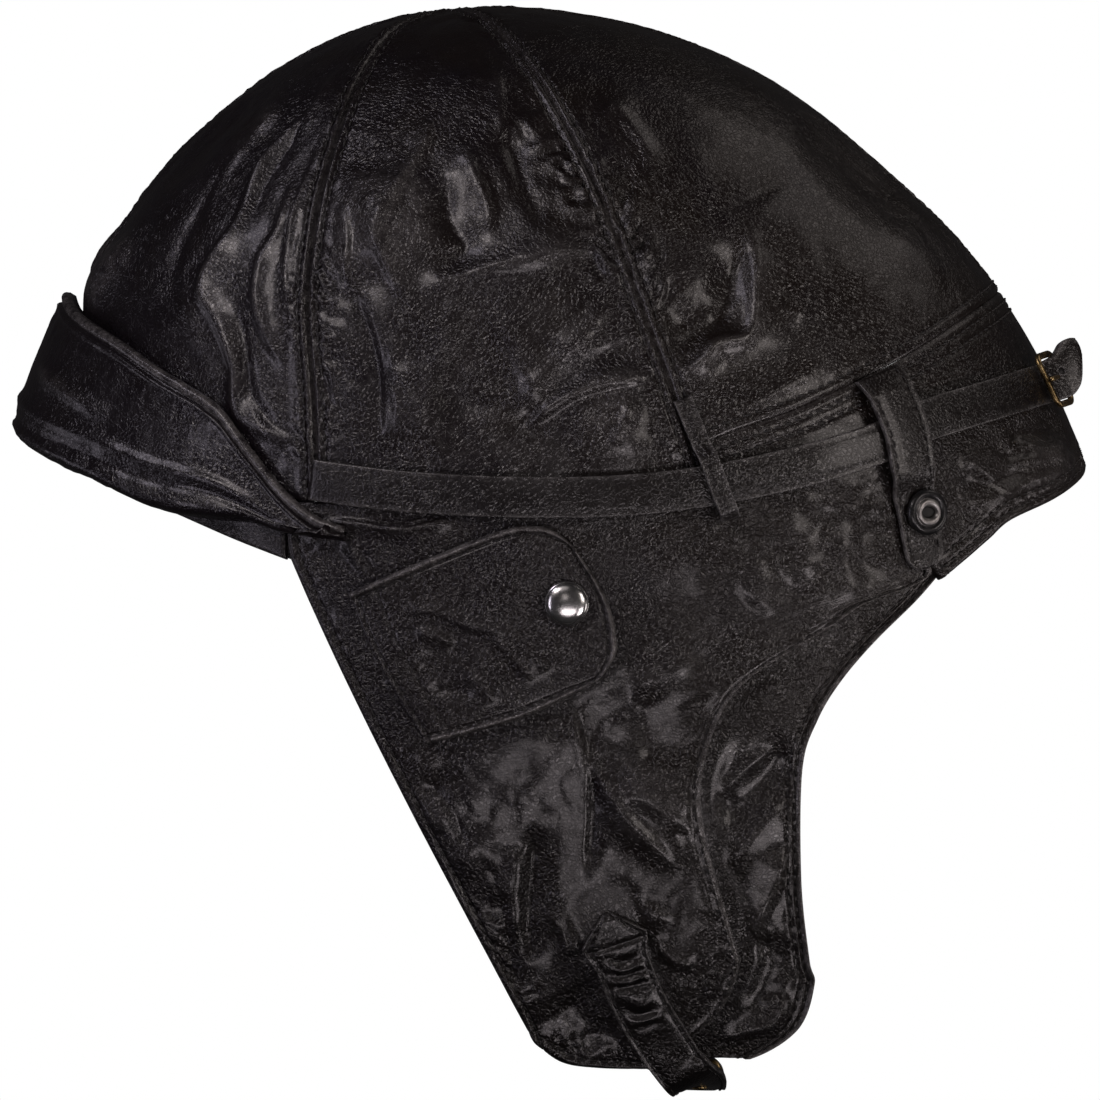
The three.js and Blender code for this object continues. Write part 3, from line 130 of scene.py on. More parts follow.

# Folds seen from the left side: panel group, name, reach and rise in millimetres, and points along the fold.
# The points are places in the side view, in 1100ths of its width from its left and from its top.
FOLDS = [
    ("crown", "front long ridge", 2.6, 2.1, [
        (353, 57), (311, 111), (265, 161), (238, 230), (208, 287), (223, 325), (238, 364),
        (242, 413), (300, 448)]),
    ("crown", "front long valley", 3.6, -1.3, [(330, 80), (292, 140), (262, 190), (250, 240)]),
    ("crown", "front inner ridge", 2.2, 1.8, [
        (298, 175), (282, 230), (265, 260), (261, 306), (273, 344), (292, 371)]),
    ("crown", "front inner valley", 2.2, -1.2, [(236, 300), (248, 345), (256, 400), (285, 432)]),
    ("crown", "front seam ridge", 1.5, 0.9, [(318, 150), (301, 203), (291, 245), (288, 285), (295, 330)]),
    ("crown", "front bulge", 10, 0.5, [(315, 65), (260, 110), (223, 145), (208, 191)]),
    ("crown", "front outer valley", 12, -1.0, [(262, 92), (225, 122), (190, 158), (165, 195)]),
    ("crown", "front outer ridge", 3.4, 1.1, [(290, 100), (250, 140), (222, 180), (205, 215)]),
    ("crown", "front outer dent", 4.0, -1.0, [(236, 150), (205, 200), (180, 250), (165, 300)]),
    ("crown", "front low bulge", 9, 2.6, [(150, 230), (115, 270), (85, 310)]),
    ("crown", "front low ridge", 2.6, 0.8, [(180, 250), (190, 300), (200, 345), (205, 370)]),
    ("crown", "front foot ridge", 1.8, 0.9, [(252, 395), (268, 428), (300, 445)]),
    ("crown", "side bulge", 13, 2.6, [(400, 160), (385, 220), (390, 285)]),
    ("crown", "side peak ridge", 3.0, 1.5, [(437, 112), (425, 150), (402, 190), (384, 228), (372, 262)]),
    ("crown", "side bright crease 1", 1.8, 0.9, [(362, 222), (380, 245), (398, 285), (420, 306)]),
    ("crown", "side bright crease 2", 1.8, 0.8, [(345, 205), (352, 240), (350, 275), (362, 300)]),
    ("crown", "side first valley", 4.6, -1.9, [(445, 172), (453, 226), (466, 250), (430, 276)]),
    ("crown", "side second ridge", 2.8, 1.2, [(460, 140), (475, 175), (491, 214), (491, 247)]),
    ("crown", "side second valley", 5.0, -1.5, [(502, 122), (522, 172), (540, 222), (545, 240)]),
    ("crown", "side top ridge", 3.2, 0.8, [(498, 66), (501, 105), (503, 148)]),
    ("crown", "side long ridge", 3.0, 1.9, [(420, 296), (450, 284), (500, 270), (545, 262), (588, 245)]),
    ("crown", "side wide hollow", 14, -1.6, [(440, 350), (480, 360), (520, 345)]),
    ("crown", "side diagonal ridge", 2.2, 0.9, [(515, 408), (545, 378), (580, 342), (615, 303)]),
    ("crown", "side low valley", 3.2, -1.6, [(500, 443), (544, 403), (585, 368), (630, 347), (655, 352)]),
    ("crown", "side low ridge", 2.6, 2.2, [(522, 432), (562, 402), (602, 385), (655, 380)]),
    ("crown", "side low bulge", 10, 1.4, [(560, 440), (610, 425), (655, 415)]),
    ("crown", "side foot ridge", 2.0, 0.8, [(632, 400), (622, 425), (610, 448)]),
    ("crown", "side left crease", 2.2, -1.3, [(352, 290), (370, 330), (379, 370), (383, 450)]),
    ("crown", "side left ridge", 2.6, 0.7, [(392, 330), (398, 380), (402, 440)]),
    ("crown", "side middle valley", 6, -0.9, [(470, 385), (462, 420), (455, 455)]),
    ("crown", "side middle ridge", 6, 0.8, [(430, 360), (425, 400), (424, 445)]),
    ("crown", "rear deep ridge", 2.3, 3.0, [
        (667, 379), (698, 364), (713, 346), (745, 337), (752, 287), (747, 224)]),
    ("crown", "rear deep valley", 5.0, -2.8, [(659, 354), (690, 336), (722, 314), (735, 272), (740, 235)]),
    ("crown", "rear deep inner ridge", 2.2, 1.0, [(672, 341), (700, 325), (718, 306)]),
    ("crown", "rear small ridge", 2.6, 0.9, [(602, 132), (617, 112), (630, 130), (646, 156), (648, 180)]),
    ("crown", "rear small valley", 3.4, -0.8, [(612, 150), (628, 175), (632, 205)]),
    ("crown", "rear faint crease 1", 3.0, -0.6, [(678, 245), (720, 215), (770, 188), (800, 172)]),
    ("crown", "rear faint crease 2", 2.4, -0.4, [(690, 300), (740, 262), (790, 235)]),
    ("crown", "rear foot crease", 2.6, 0.6, [(728, 420), (770, 395), (820, 370)]),
    ("crown", "rear shoulder hollow", 13, -2.2, [(800, 108), (850, 150), (885, 190), (920, 225)]),
    ("crown", "rear broad bulge", 14, 0.6, [(760, 190), (810, 260), (840, 320)]),
    ("crown", "rear dot", 2.0, 0.7, [(780, 300), (797, 312), (806, 318)]),
    ("flap", "lower front valley", 2.8, -1.8, [(538, 820), (533, 865), (529, 910), (531, 960)]),
    ("flap", "lower front ridge", 4.0, 1.1, [(520, 840), (512, 890), (516, 940)]),
    ("flap", "middle valley", 2.4, -1.8, [(575, 700), (588, 745), (594, 790), (590, 850), (586, 880)]),
    ("flap", "middle ridge", 2.2, 1.4, [
        (568, 690), (580, 735), (597, 770), (620, 806), (662, 850), (680, 868)]),
    ("flap", "middle ridge 2", 3.6, 0.9, [(606, 790), (650, 800), (690, 830)]),
    ("flap", "middle ridge 3", 3.6, 1.1, [(575, 880), (600, 900), (640, 905), (680, 920)]),
    ("flap", "upper ridge", 5.2, 1.0, [(626, 692), (655, 674), (688, 662), (700, 668)]),
    ("flap", "upper valley", 5.0, -0.8, [(700, 690), (712, 715), (735, 735)]),
    ("flap", "upper vertical valley", 4.4, -1.1, [(640, 690), (648, 730), (652, 770)]),
    ("flap", "front bulge", 7, 1.3, [(430, 790), (460, 830), (480, 880)]),
    ("flap", "front dent", 4, -0.9, [(420, 770), (450, 800), (470, 850)]),
    ("flap", "front lower dent", 5, -1.3, [(500, 880), (508, 940), (520, 1000)]),
    ("flap", "low ridge", 4.0, 1.1, [(480, 900), (500, 960), (520, 1030)]),
    ("flap", "low hollow", 6, -1.1, [(560, 985), (590, 1020), (600, 1050)]),
    ("flap", "strap crease 1", 2.4, 1.1, [(650, 935), (672, 955), (695, 965)]),
    ("flap", "strap crease 2", 2.6, 0.9, [(640, 990), (665, 1000), (690, 1020)]),
    ("flap", "strap crease 3", 2.4, 1.0, [(545, 905), (562, 925), (570, 955)]),
    ("flap", "band crease top", 1.3, 1.5, [
        (320, 520), (354, 523), (380, 526), (408, 529), (443, 521), (476, 512)]),
    ("flap", "band slit", 1.0, -1.6, [(375, 526), (400, 521), (423, 515), (445, 514)]),
    ("flap", "band crease low", 1.3, 1.0, [(380, 523), (405, 517), (423, 512), (445, 511)]),
    ("flap", "front top crease", 1.8, 0.9, [(345, 540), (362, 565), (380, 592)]),
    ("flap", "front top crease 2", 1.8, -0.8, [(360, 545), (378, 575), (392, 600)]),
    ("flap", "neck valley 1", 7.5, -1.0, [(790, 560), (795, 600), (800, 650)]),
    ("flap", "neck valley 2", 6.5, -0.8, [(818, 500), (822, 550), (816, 600)]),
    ("flap", "neck valley 3", 6.5, -0.9, [(858, 505), (862, 545), (858, 590)]),
    ("flap", "neck ridge 1", 6.5, 0.8, [(775, 570), (760, 590), (745, 605)]),
    ("flap", "neck ridge 2", 6.0, 0.8, [(838, 505), (845, 550), (838, 610)]),
    ("flap", "neck ridge 3", 6.0, 0.6, [(805, 510), (806, 560), (800, 590)]),
    ("flap", "wide hollow", 14, -1.0, [(690, 560), (700, 620), (690, 690)]),
    ("flap", "wide bulge", 12, 1.0, [(650, 740), (640, 800), (620, 850)]),
    ("gusset", "gusset valley", 6.5, -2.0, [(712, 826), (735, 800), (762, 775), (800, 740)]),
    ("gusset", "gusset ridge top", 3.2, 1.2, [(715, 800), (745, 770), (780, 745)]),
    ("gusset", "gusset ridge", 2.8, 1.6, [(744, 955), (760, 915), (776, 880), (788, 840)]),
    ("gusset", "gusset ridge 2", 3.4, 1.2, [(718, 868), (742, 848), (770, 812), (785, 795)]),
    ("gusset", "gusset low ridge", 2.6, 1.2, [(715, 1040), (745, 1030), (775, 1020), (788, 985)]),
    ("gusset", "gusset low valley", 3.4, -1.2, [(735, 1000), (755, 975), (770, 930)]),
    ("neck", "nape crumple 1", 2.6, 1.2, [(955, 458), (975, 470), (1000, 490), (1010, 505)]),
    ("neck", "nape crumple 2", 2.6, 1.0, [(945, 505), (985, 500), (1030, 480), (1060, 470)]),
    ("neck", "nape crumple 3", 2.4, -1.1, [(960, 480), (990, 482), (1030, 465)]),
    ("neck", "nape crumple 4", 2.4, 0.9, [(1015, 440), (1040, 450), (1062, 440)]),
    ("neck", "nape crumple 5", 2.4, -1.1, [(985, 440), (1010, 455), (1030, 450)]),
    ("neck", "nape crumple 6", 2.2, 0.8, [(970, 530), (1000, 520), (1030, 505)]),
    ("neck", "nape hollow", 4.0, -1.6, [(1000, 436), (1040, 430), (1062, 424)]),
    ("neck", "nape flare", 5.0, 1.4, [(1000, 462), (1050, 460), (1084, 456)]),
    ("cover", "cover top crease", 1.5, 0.9, [(402, 612), (438, 610), (478, 626), (525, 630)]),
    ("cover", "cover bright crease", 1.3, 1.1, [(418, 628), (440, 633), (458, 642)]),
    ("cover", "cover fan 1", 1.5, 0.8, [(490, 628), (515, 655), (535, 680)]),
    ("cover", "cover fan 2", 1.5, 0.7, [(505, 625), (530, 648), (556, 668)]),
    ("cover", "cover low crease", 1.7, -0.8, [(430, 690), (455, 688), (478, 697)]),
    ("cover", "cover low ridge", 1.7, 0.7, [(455, 655), (480, 680), (500, 700)]),
    ("cover", "cover hollow", 7, -0.6, [(420, 650), (450, 665), (480, 660)]),
]
# The view's middle column, its row at the crown's base, and the millimetres of one step
VIEW_MIDDLE, VIEW_LEVEL, VIEW_STEP = 574.5, 480, 0.2223
# Folds with at least this reach have two alike, soft flanks.
# Each row: steep flank, gentle flank, power of the fall and share of the soft end
BROAD_REACH = 6
BROAD_FOLD = (1.0, 1.0, 2.0, 0.3)
SHARP_FOLD = (0.5, 1.35, 1.25, 0.24)
FOLD_SEED, FOLD_STEP, FOLD_ROOM = 500, 1.0, 2.4
# On the right side each fold is shifted by up to this and keeps a share of its rise
RIGHT_SHIFT, RIGHT_RISE = 3.5, (0.55, 1.0)
# The inner side of a wall follows this share of the folds, and what lies on a gore leaves it this share
INNER_FOLLOWS, LAID_KEEPS = 0.8, 0.25
FLAP_BEAD, GUSSET_BEAD, COVER_BEAD = 2.4, 2.2, 0.75
# Paling along the crest of a raised edge, both rubbing and a painted highlight
FLAP_CREST_SHEEN, SEWN_CREST_SHEEN = 0.9, 1.0
# Flatter places of the crown: spot in the side view, reach and depth in millimetres
SHOULDERS = [((222, 112), 24, 1.4), ((876, 158), 24, 1.6)]


def seen(points):
    """Side-view places as millimetres of length and height."""
    points = np.array(points, float)
    return np.stack([points[:, 0] - VIEW_MIDDLE, VIEW_LEVEL - points[:, 1]], -1) * VIEW_STEP


def mix(start, end, share):
    return start + (end - start) * share


def smooth(share):
    inside = np.clip(share, 0, 1)
    return inside * inside * (3 - 2 * inside)


def bell(value, centre, width):
    return np.exp(-(((value - centre) / width) ** 2))


def unit(vectors):
    return vectors / np.maximum(np.linalg.norm(vectors, axis=-1, keepdims=True), 1e-12)


def length_at(along):
    return (along - 0.5) * CROWN_LENGTH


def height_at(height):
    return height * (FLAP_DROP if height < 0 else CROWN_HEIGHT)


# The head form
def slice_at(z):
    """Middle, half length and half width of the form at a height."""
    z = np.asarray(z, float)
    half = CROWN_LENGTH / 2
    drop = (z / FLAP_DROP) ** 2
    rise = np.clip(z / CROWN_HEIGHT, 0, 0.99999)

    def rounded(power):
        return (1 - rise**power) ** (1 / power)

    below = z < 0
    back_power = mix(BACK_ROUNDNESS_LOW, BACK_ROUNDNESS_TOP, rise)
    front = np.where(
        below, -half + FRONT_TUCK * drop, -APEX_FORWARD - (half - APEX_FORWARD) * rounded(FRONT_ROUNDNESS))
    back = np.where(
        below, half - BACK_TUCK * drop, -APEX_FORWARD + (half + APEX_FORWARD) * rounded(back_power))
    half_width = np.where(
        below, CROWN_WIDTH / 2 - FLAP_LEAN * np.minimum(drop, 1.5), CROWN_WIDTH / 2 * rounded(SIDE_ROUNDNESS))
    return (front + back) / 2, (back - front) / 2, half_width


def outsideness(x, y, z):
    """Below zero inside the form and above zero outside it."""
    middle, reach, half_width = slice_at(z)
    value = ((x - middle) / reach) ** 2 + (y / half_width) ** 2 - 1
    return np.where(z >= CROWN_HEIGHT, 1, value)


def normal_at(points):
    x, y, z = np.moveaxis(points, -1, 0)
    middle, reach, half_width = slice_at(z)
    step = np.clip((CROWN_HEIGHT - z) / 2, 1e-4, 0.05)
    climb = (outsideness(x, y, z + step) - outsideness(x, y, z - step)) / (2 * step)
    slope = unit(np.stack([2 * (x - middle) / reach**2, 2 * y / half_width**2, climb], -1))
    near_top = smooth((z / CROWN_HEIGHT - TOP_ZONE) / (1 - TOP_ZONE))[..., None]
    return unit(mix(slope, np.array([0.0, 0.0, 1.0]), near_top))


def on_form(turn, z, offset=None):
    """Points of the form at a turn from the front, round the left side, and a height."""
    turn, z = np.broadcast_arrays(np.asarray(turn, float), np.asarray(z, float))
    middle, reach, half_width = slice_at(z)
    points = np.stack([middle - reach * np.cos(turn), -half_width * np.sin(turn), z], -1)
    if offset is None:
        return points
    return points + normal_at(points) * np.broadcast_to(offset, turn.shape)[..., None]


def turn_of(x, z):
    middle, reach, _ = slice_at(z)
    return np.arccos(np.clip((middle - x) / reach, -1, 1))


def snap_to_form(points, offset):
    middle, reach, half_width = slice_at(points[..., 2])
    turn = np.arctan2(-points[..., 1] / half_width, (middle - points[..., 0]) / reach)
    return on_form(turn, points[..., 2], offset)


def along_ray(directions):
    """Where rays from the origin leave the form."""
    near = np.zeros(directions.shape[:-1])
    far = np.full(directions.shape[:-1], float(CROWN_LENGTH))
    for _ in range(40):
        middle = (near + far) / 2
        hit = directions * middle[..., None]
        outside = outsideness(hit[..., 0], hit[..., 1], hit[..., 2]) > 0
        far = np.where(outside, middle, far)
        near = np.where(outside, near, middle)
    return directions * near[..., None]


def hermite(share, start, end, slope_start, slope_end):
    square, cube = share**2, share**3
    return ((2 * cube - 3 * square + 1) * start + (cube - 2 * square + share) * slope_start
            + (3 * square - 2 * cube) * end + (cube - square) * slope_end)


# Smooth curves through points, read by parameter or by share of their length
class Curve:
    def __init__(self, points, centripetal=False):
        self.points = np.array(points, float)
        self.centripetal = centripetal
        self.shares = np.linspace(0, 1, 401)
        steps = np.linalg.norm(np.diff(self.at(self.shares), axis=0), axis=1)
        self.lengths = np.concatenate([[0], np.cumsum(steps)])
        self.length = self.lengths[-1]

    def at(self, share):
        points, last = self.points, len(self.points) - 1
        place = np.clip(np.asarray(share, float), 0, 1) * last
        index = np.minimum(np.floor(place).astype(int), last - 1)
        weight = (place - index)[..., None]
        p1, p2 = points[index], points[index + 1]
        if self.centripetal:
            extended = np.vstack([2 * points[0] - points[1], points, 2 * points[-1] - points[-2]])
            p0, p3 = extended[index], extended[index + 3]
            pairs = ((p0, p1), (p1, p2), (p2, p3))
            gaps = [np.sqrt(np.linalg.norm(b - a, axis=-1, keepdims=True)) for a, b in pairs]
            before, here, after = [np.where(gap < 1e-4, 1, gap) for gap in gaps]
            slope1 = ((p1 - p0) / before - (p2 - p0) / (before + here) + (p2 - p1) / here) * here
            slope2 = ((p2 - p1) / here - (p3 - p1) / (here + after) + (p3 - p2) / after) * here
        else:
            slope1 = (p2 - points[np.maximum(index - 1, 0)]) / 2
            slope2 = (points[np.minimum(index + 2, last)] - p1) / 2
        return hermite(weight, p1, p2, slope1, slope2)

    def along(self, share):
        return self.at(np.interp(np.asarray(share, float) * self.length, self.lengths, self.shares))

    def tangent(self, share):
        share = np.asarray(share, float)
        return unit(self.along(np.minimum(share + 1e-3, 1)) - self.along(np.maximum(share - 1e-3, 0)))


def chart_point(row):
    z = height_at(row[1])
    return np.array([turn_of(length_at(row[0]), z), z])


def chart_curve(rows, *extra):
    return Curve([chart_point(row) for row in rows] + [np.array(point) for point in extra])


def direction_curve(rows, *last):
    points = [unit(on_form(*chart_point(row))) for row in rows]
    return Curve(points + list(last), centripetal=True)


def height_on(curve, turn):
    fine = curve.at(np.linspace(0, 1, 2001))
    order = np.argsort(fine[:, 0])
    return np.interp(turn, fine[order, 0], fine[order, 1])


# Seeded gradient noise in three dimensions, from -1 to 1
NOISE_SIZE, NOISE_GAIN = 32, 1.5


def noise(points, wavelength, seed):
    draw = np.random.default_rng(seed)
    slopes = unit(draw.normal(size=(NOISE_SIZE, NOISE_SIZE, NOISE_SIZE, 3)))
    place = points / np.asarray(wavelength, float) + draw.uniform(0, NOISE_SIZE, 3)
    corner = np.floor(place).astype(int)
    inside = place - corner
    fade = inside**3 * (inside * (inside * 6 - 15) + 10)
    total = np.zeros(points.shape[:-1])
    for step in np.ndindex(2, 2, 2):
        step = np.array(step)
        at = (corner + step) % NOISE_SIZE
        slope = slopes[at[..., 0], at[..., 1], at[..., 2]]
        weight = np.prod(np.where(step == 1, fade, 1 - fade), -1)
        total += weight * np.sum(slope * (inside - step), -1)
    return total * NOISE_GAIN


def puffs(points, wavelength, seed):
    """Rounded swells parted by creases."""
    wander = np.stack([noise(points, wavelength * 1.8, seed + 10 + axis) for axis in range(3)], -1)
    value = noise(points + wander * wavelength * 0.6, wavelength, seed)
    return np.sqrt(value**2 + 0.003) - 0.25


# Folds of one panel group, as a height over the form
def resampled(points, spacing):
    curve = Curve(points, centripetal=True)
    count = max(int(curve.length / spacing), 8)
    return curve.along(np.linspace(0, 1, count))


def fold_height(group, base, side):
    """Each fold has one steep and one gentle flank, a crest that comes and goes, and soft ends."""
    flat = base.reshape(-1, 3).copy()
    flat[:, 1] = -np.abs(flat[:, 1])
    wobble = noise(base, 8, 41).reshape(-1)
    vary = noise(base, 15, 42).reshape(-1)
    result = np.zeros(len(flat))
    for index, (piece, _, reach, rise, rows) in enumerate(FOLDS):
        if piece != group:
            continue
        draw = np.random.default_rng(FOLD_SEED + index)
        shift = draw.uniform(-RIGHT_SHIFT, RIGHT_SHIFT, 2) if side == "right" else np.zeros(2)
        strength = draw.uniform(*RIGHT_RISE) if side == "right" else 1
        rows = seen(rows) + shift
        spots = resampled(on_form(turn_of(rows[:, 0], rows[:, 1]), rows[:, 1]), FOLD_STEP)
        steep, gentle, power, soft_end = BROAD_FOLD if reach >= BROAD_REACH else SHARP_FOLD
        room = reach * gentle * FOLD_ROOM
        low, high = spots.min(0) - room, spots.max(0) + room
        near = np.flatnonzero(np.all((flat > low) & (flat < high), axis=1))
        if not len(near):
            continue
        delta = flat[near, None, :] - spots[None]
        nearest = np.argmin(np.sum(delta**2, -1), 1)
        tangents = unit(np.gradient(spots, axis=0))
        sideways = np.cross(normal_at(spots), tangents)[nearest]
        tangents = tangents[nearest]
        delta = delta[np.arange(len(near)), nearest]
        beyond = np.sum(delta * tangents, -1)
        share = np.clip((nearest + beyond) / (len(spots) - 1), -0.2, 1.2)
        lateral = np.sqrt(np.maximum(np.sum(delta**2, -1) - beyond**2, 0))
        turned_way = np.tanh(np.sum(delta * sideways, -1) / (0.4 * reach)) * (1 if index % 2 else -1)
        width = reach * mix(gentle, steep, 0.5 + 0.5 * turned_way) * (0.85 + 0.3 * vary[near])
        across = np.abs(lateral + 0.12 * reach * wobble[near]) / width
        core = np.exp(-(across**power))
        fade = smooth(share / soft_end) * smooth((1 - share) / soft_end)
        crest = 1 + 0.35 * wobble[near] + 0.3 * vary[near]
        result[near] += strength * rise * core * fade * crest
    return result.reshape(base.shape[:-1])


# Materials
class Nodes:
    def __init__(self, name):
        self.material = bpy.data.materials.new(name)
        self.material.use_nodes = True
        self.tree = self.material.node_tree
        self.shader = self.tree.nodes["Principled BSDF"]
        self.place = self.add("ShaderNodeTexCoord").outputs["Object"]

    def fill(self, socket, value):
        """Link another node's output to a socket, or set the socket's own value."""
        if isinstance(value, bpy.types.NodeSocket):
            self.tree.links.new(value, socket)
        else:
            socket.default_value = value

    def add(self, kind, inputs=None, **settings):
        node = self.tree.nodes.new(kind)
        for name, value in settings.items():
            setattr(node, name, value)
        for name, value in (inputs or {}).items():
            self.fill(node.inputs[name], value)
        return node

    def noise(self, scale, detail=3.0, roughness=0.5, vector=None):
        inputs = {"Vector": vector or self.place, "Scale": scale, "Detail": detail, "Roughness": roughness}
        return self.add("ShaderNodeTexNoise", inputs).outputs["Fac"]

    def ramp(self, value, low, high, start=0.0, end=1.0):
        inputs = {"Value": value, "From Min": low, "From Max": high, "To Min": start, "To Max": end}
        return self.add("ShaderNodeMapRange", inputs).outputs["Result"]

    def blend(self, share, start, end):
        return self.add("ShaderNodeMix", {0: share, 6: start, 7: end}, data_type="RGBA").outputs[2]

    def math(self, operation, first, second):
        return self.add("ShaderNodeMath", {0: first, 1: second}, operation=operation).outputs[0]

    def put(self, name, value):
        self.fill(self.shader.inputs[name], value)

    def bump(self, height, strength, distance, normal=None):
        inputs = {"Height": height, "Strength": strength, "Distance": distance}
        if normal is not None:
            inputs["Normal"] = normal
        return self.add("ShaderNodeBump", inputs).outputs["Normal"]


def colour(red, green, blue):
    return (red, green, blue, 1.0)


def scaled(shade, factor):
    return colour(*[channel * factor for channel in shade[:3]])


# Leather grain: scales, each bump's strength and depth, the paler colour of rubbed ridges and edges, which
# also stands for their painted highlights, and the painted shade in the grain's crevices
WARP_SCALE, WARP_SHARE = 420.0, 0.0022
PEBBLE_SCALE, PEBBLE_BUMP = 980.0, (0.75, 0.00017)
LINE_SCALE, LINE_BUMP = 330.0, (0.14, 0.00016)
PORE_SCALE, PORE_BUMP = 4200.0, (0.2, 0.00006)
SWELL_SCALE, SWELL_BUMP = 160.0, (0.55, 0.0009)
FRONT_COOL_END, BACK_WARM_START = -0.08, 0.05
WORN_SHEEN_FACTOR, WORN_SHEEN_LIFT, WORN_SHEEN_POWER = 2.6, 0.15, 1.4
CREVICE_SHADE_FACTOR, CREVICE_SHADE_SHARE = 0.45, 0.55
RUBBED_GLOSS, COAT_ROUGHNESS = 0.1, 0.2


def leather(name, warm, cool, gloss, grain, coat):
    """Black glove leather: pebbled grain with painted shade in its crevices, fine creases, cooler front,
    browner back, and rubbed ridges and edges that turn paler, both from rubbing and as their painted
    highlights.
    """
    nodes = Nodes(name)
    warp = nodes.add("ShaderNodeTexNoise", {"Vector": nodes.place, "Scale": WARP_SCALE, "Detail": 2.0})
    bend = {"Factor": WARP_SHARE, 4: nodes.place, 5: warp.outputs["Color"]}
    bent = nodes.add("ShaderNodeMix", bend, data_type="VECTOR").outputs[1]
    pebbles, lines = [
        nodes.add("ShaderNodeTexVoronoi", {"Vector": bent, "Scale": scale}, feature="DISTANCE_TO_EDGE")
        for scale in (PEBBLE_SCALE, LINE_SCALE)]
    pebble_height = nodes.ramp(pebbles.outputs["Distance"], 0.0, 0.28)
    line_height = nodes.ramp(lines.outputs["Distance"], 0.0, 0.09)
    pores = nodes.noise(PORE_SCALE, 2.0, 0.6)
    swell = nodes.noise(SWELL_SCALE, 4.0, 0.55)
    where = nodes.noise(34.0, 3.0, 0.55)
    rough_zone = nodes.ramp(where, 0.38, 0.6, 0.5, 1.0)
    normal = nodes.bump(swell, *SWELL_BUMP)
    for height, (strength, depth) in (
            (nodes.math("MULTIPLY", line_height, rough_zone), LINE_BUMP),
            (nodes.math("MULTIPLY", pebble_height, rough_zone), PEBBLE_BUMP), (pores, PORE_BUMP)):
        normal = nodes.bump(height, strength * grain, depth, normal)
    nodes.put("Normal", normal)
    split = nodes.add("ShaderNodeSeparateXYZ", {"Vector": nodes.place})
    side = nodes.ramp(split.outputs["X"], FRONT_COOL_END, BACK_WARM_START)
    mottle = nodes.noise(55.0, 3.0, 0.6)
    side = nodes.math("ADD", side, nodes.ramp(mottle, 0.3, 0.7, -0.45, 0.45))
    shade = nodes.blend(nodes.ramp(side, 0.0, 1.0), cool, warm)
    # Rubbed ridges and edges turn paler: the paling is partly rubbing and partly a painted highlight
    worn_and_lit = nodes.add("ShaderNodeAttribute", attribute_name="wear").outputs["Fac"]
    rub_and_sheen = nodes.math("MULTIPLY", worn_and_lit, nodes.ramp(nodes.noise(420.0, 4.0, 0.65), 0.28, 0.6))
    pale = colour(*[channel * WORN_SHEEN_FACTOR + WORN_SHEEN_LIFT for channel in warm[:3]])
    shade = nodes.blend(nodes.math("POWER", rub_and_sheen, WORN_SHEEN_POWER), shade, pale)
    # Painted shade: a darker colour in the crevices between the grain's pebbles
    deep = nodes.ramp(pebbles.outputs["Distance"], 0.0, 0.1, CREVICE_SHADE_SHARE, 0.0)
    nodes.put("Base Color", nodes.blend(deep, shade, scaled(warm, CREVICE_SHADE_FACTOR)))
    patches = nodes.ramp(nodes.noise(90.0, 4.0, 0.6), 0.3, 0.7, gloss[0], gloss[1])
    nodes.put("Roughness", nodes.math("SUBTRACT", patches, nodes.math("MULTIPLY", rub_and_sheen, RUBBED_GLOSS)))
    nodes.put("Specular IOR Level", 0.5)
    nodes.put("Coat Weight", coat)
    nodes.put("Coat Roughness", COAT_ROUGHNESS)
    return nodes.material


def thread(name, shade):
    nodes = Nodes(name)
    twist = nodes.add(
        "ShaderNodeTexWave", {"Vector": nodes.place, "Scale": 900.0, "Distortion": 2.0},
        bands_direction="DIAGONAL").outputs["Fac"]
    nodes.put("Base Color", nodes.blend(nodes.noise(600.0), shade, scaled(shade, 1.9)))
    nodes.put("Normal", nodes.bump(twist, 0.5, 0.00008))
    nodes.put("Roughness", nodes.ramp(nodes.noise(500.0), 0.3, 0.7, 0.42, 0.6))
    return nodes.material


def metal(name, clean, dull, rough, tarnish, metallic=1.0, scratch=0.12):
    nodes = Nodes(name)
    patches = nodes.noise(260.0, 5.0, 0.65)
    spots = nodes.ramp(patches, tarnish[0], tarnish[1])
    nodes.put("Base Color", nodes.blend(spots, clean, dull))
    nodes.put("Metallic", metallic)
    nodes.put("Roughness", nodes.ramp(nodes.noise(700.0, 4.0, 0.6), 0.3, 0.7, rough[0], rough[1]))
    nodes.put("Normal", nodes.bump(nodes.noise(1500.0, 4.0, 0.7), scratch, 0.00005))
    return nodes.material


WARM, COOL = colour(0.0098, 0.0062, 0.0048), colour(0.0066, 0.0042, 0.0066)
GORE_SKIN = leather("gore_leather", WARM, COOL, gloss=(0.23, 0.38), grain=1.0, coat=0.35)
BAND_SKIN = leather(
    "band_leather", colour(0.0062, 0.0042, 0.0036), COOL, gloss=(0.32, 0.46), grain=1.0, coat=0.15)
BRIM_SKIN = leather("brim_leather", WARM, COOL, gloss=(0.22, 0.36), grain=0.8, coat=0.4)
FLAP_SKIN = leather("flap_leather", WARM, COOL, gloss=(0.26, 0.42), grain=1.3, coat=0.3)
STRAP_SKIN = leather(
    "strap_leather", colour(0.0070, 0.0046, 0.0038), colour(0.0062, 0.0042, 0.0055), gloss=(0.26, 0.4),
    grain=0.8, coat=0.3)
THREAD = thread("black_thread", colour(0.010, 0.0088, 0.0085))
NICKEL = metal(
    "polished_nickel", colour(0.66, 0.66, 0.65), colour(0.36, 0.35, 0.33), (0.2, 0.26), (0.5, 0.85),
    scratch=0.03)
SOCKET = metal("worn_socket", colour(0.4, 0.39, 0.38), colour(0.16, 0.15, 0.145), (0.36, 0.46), (0.4, 0.7))
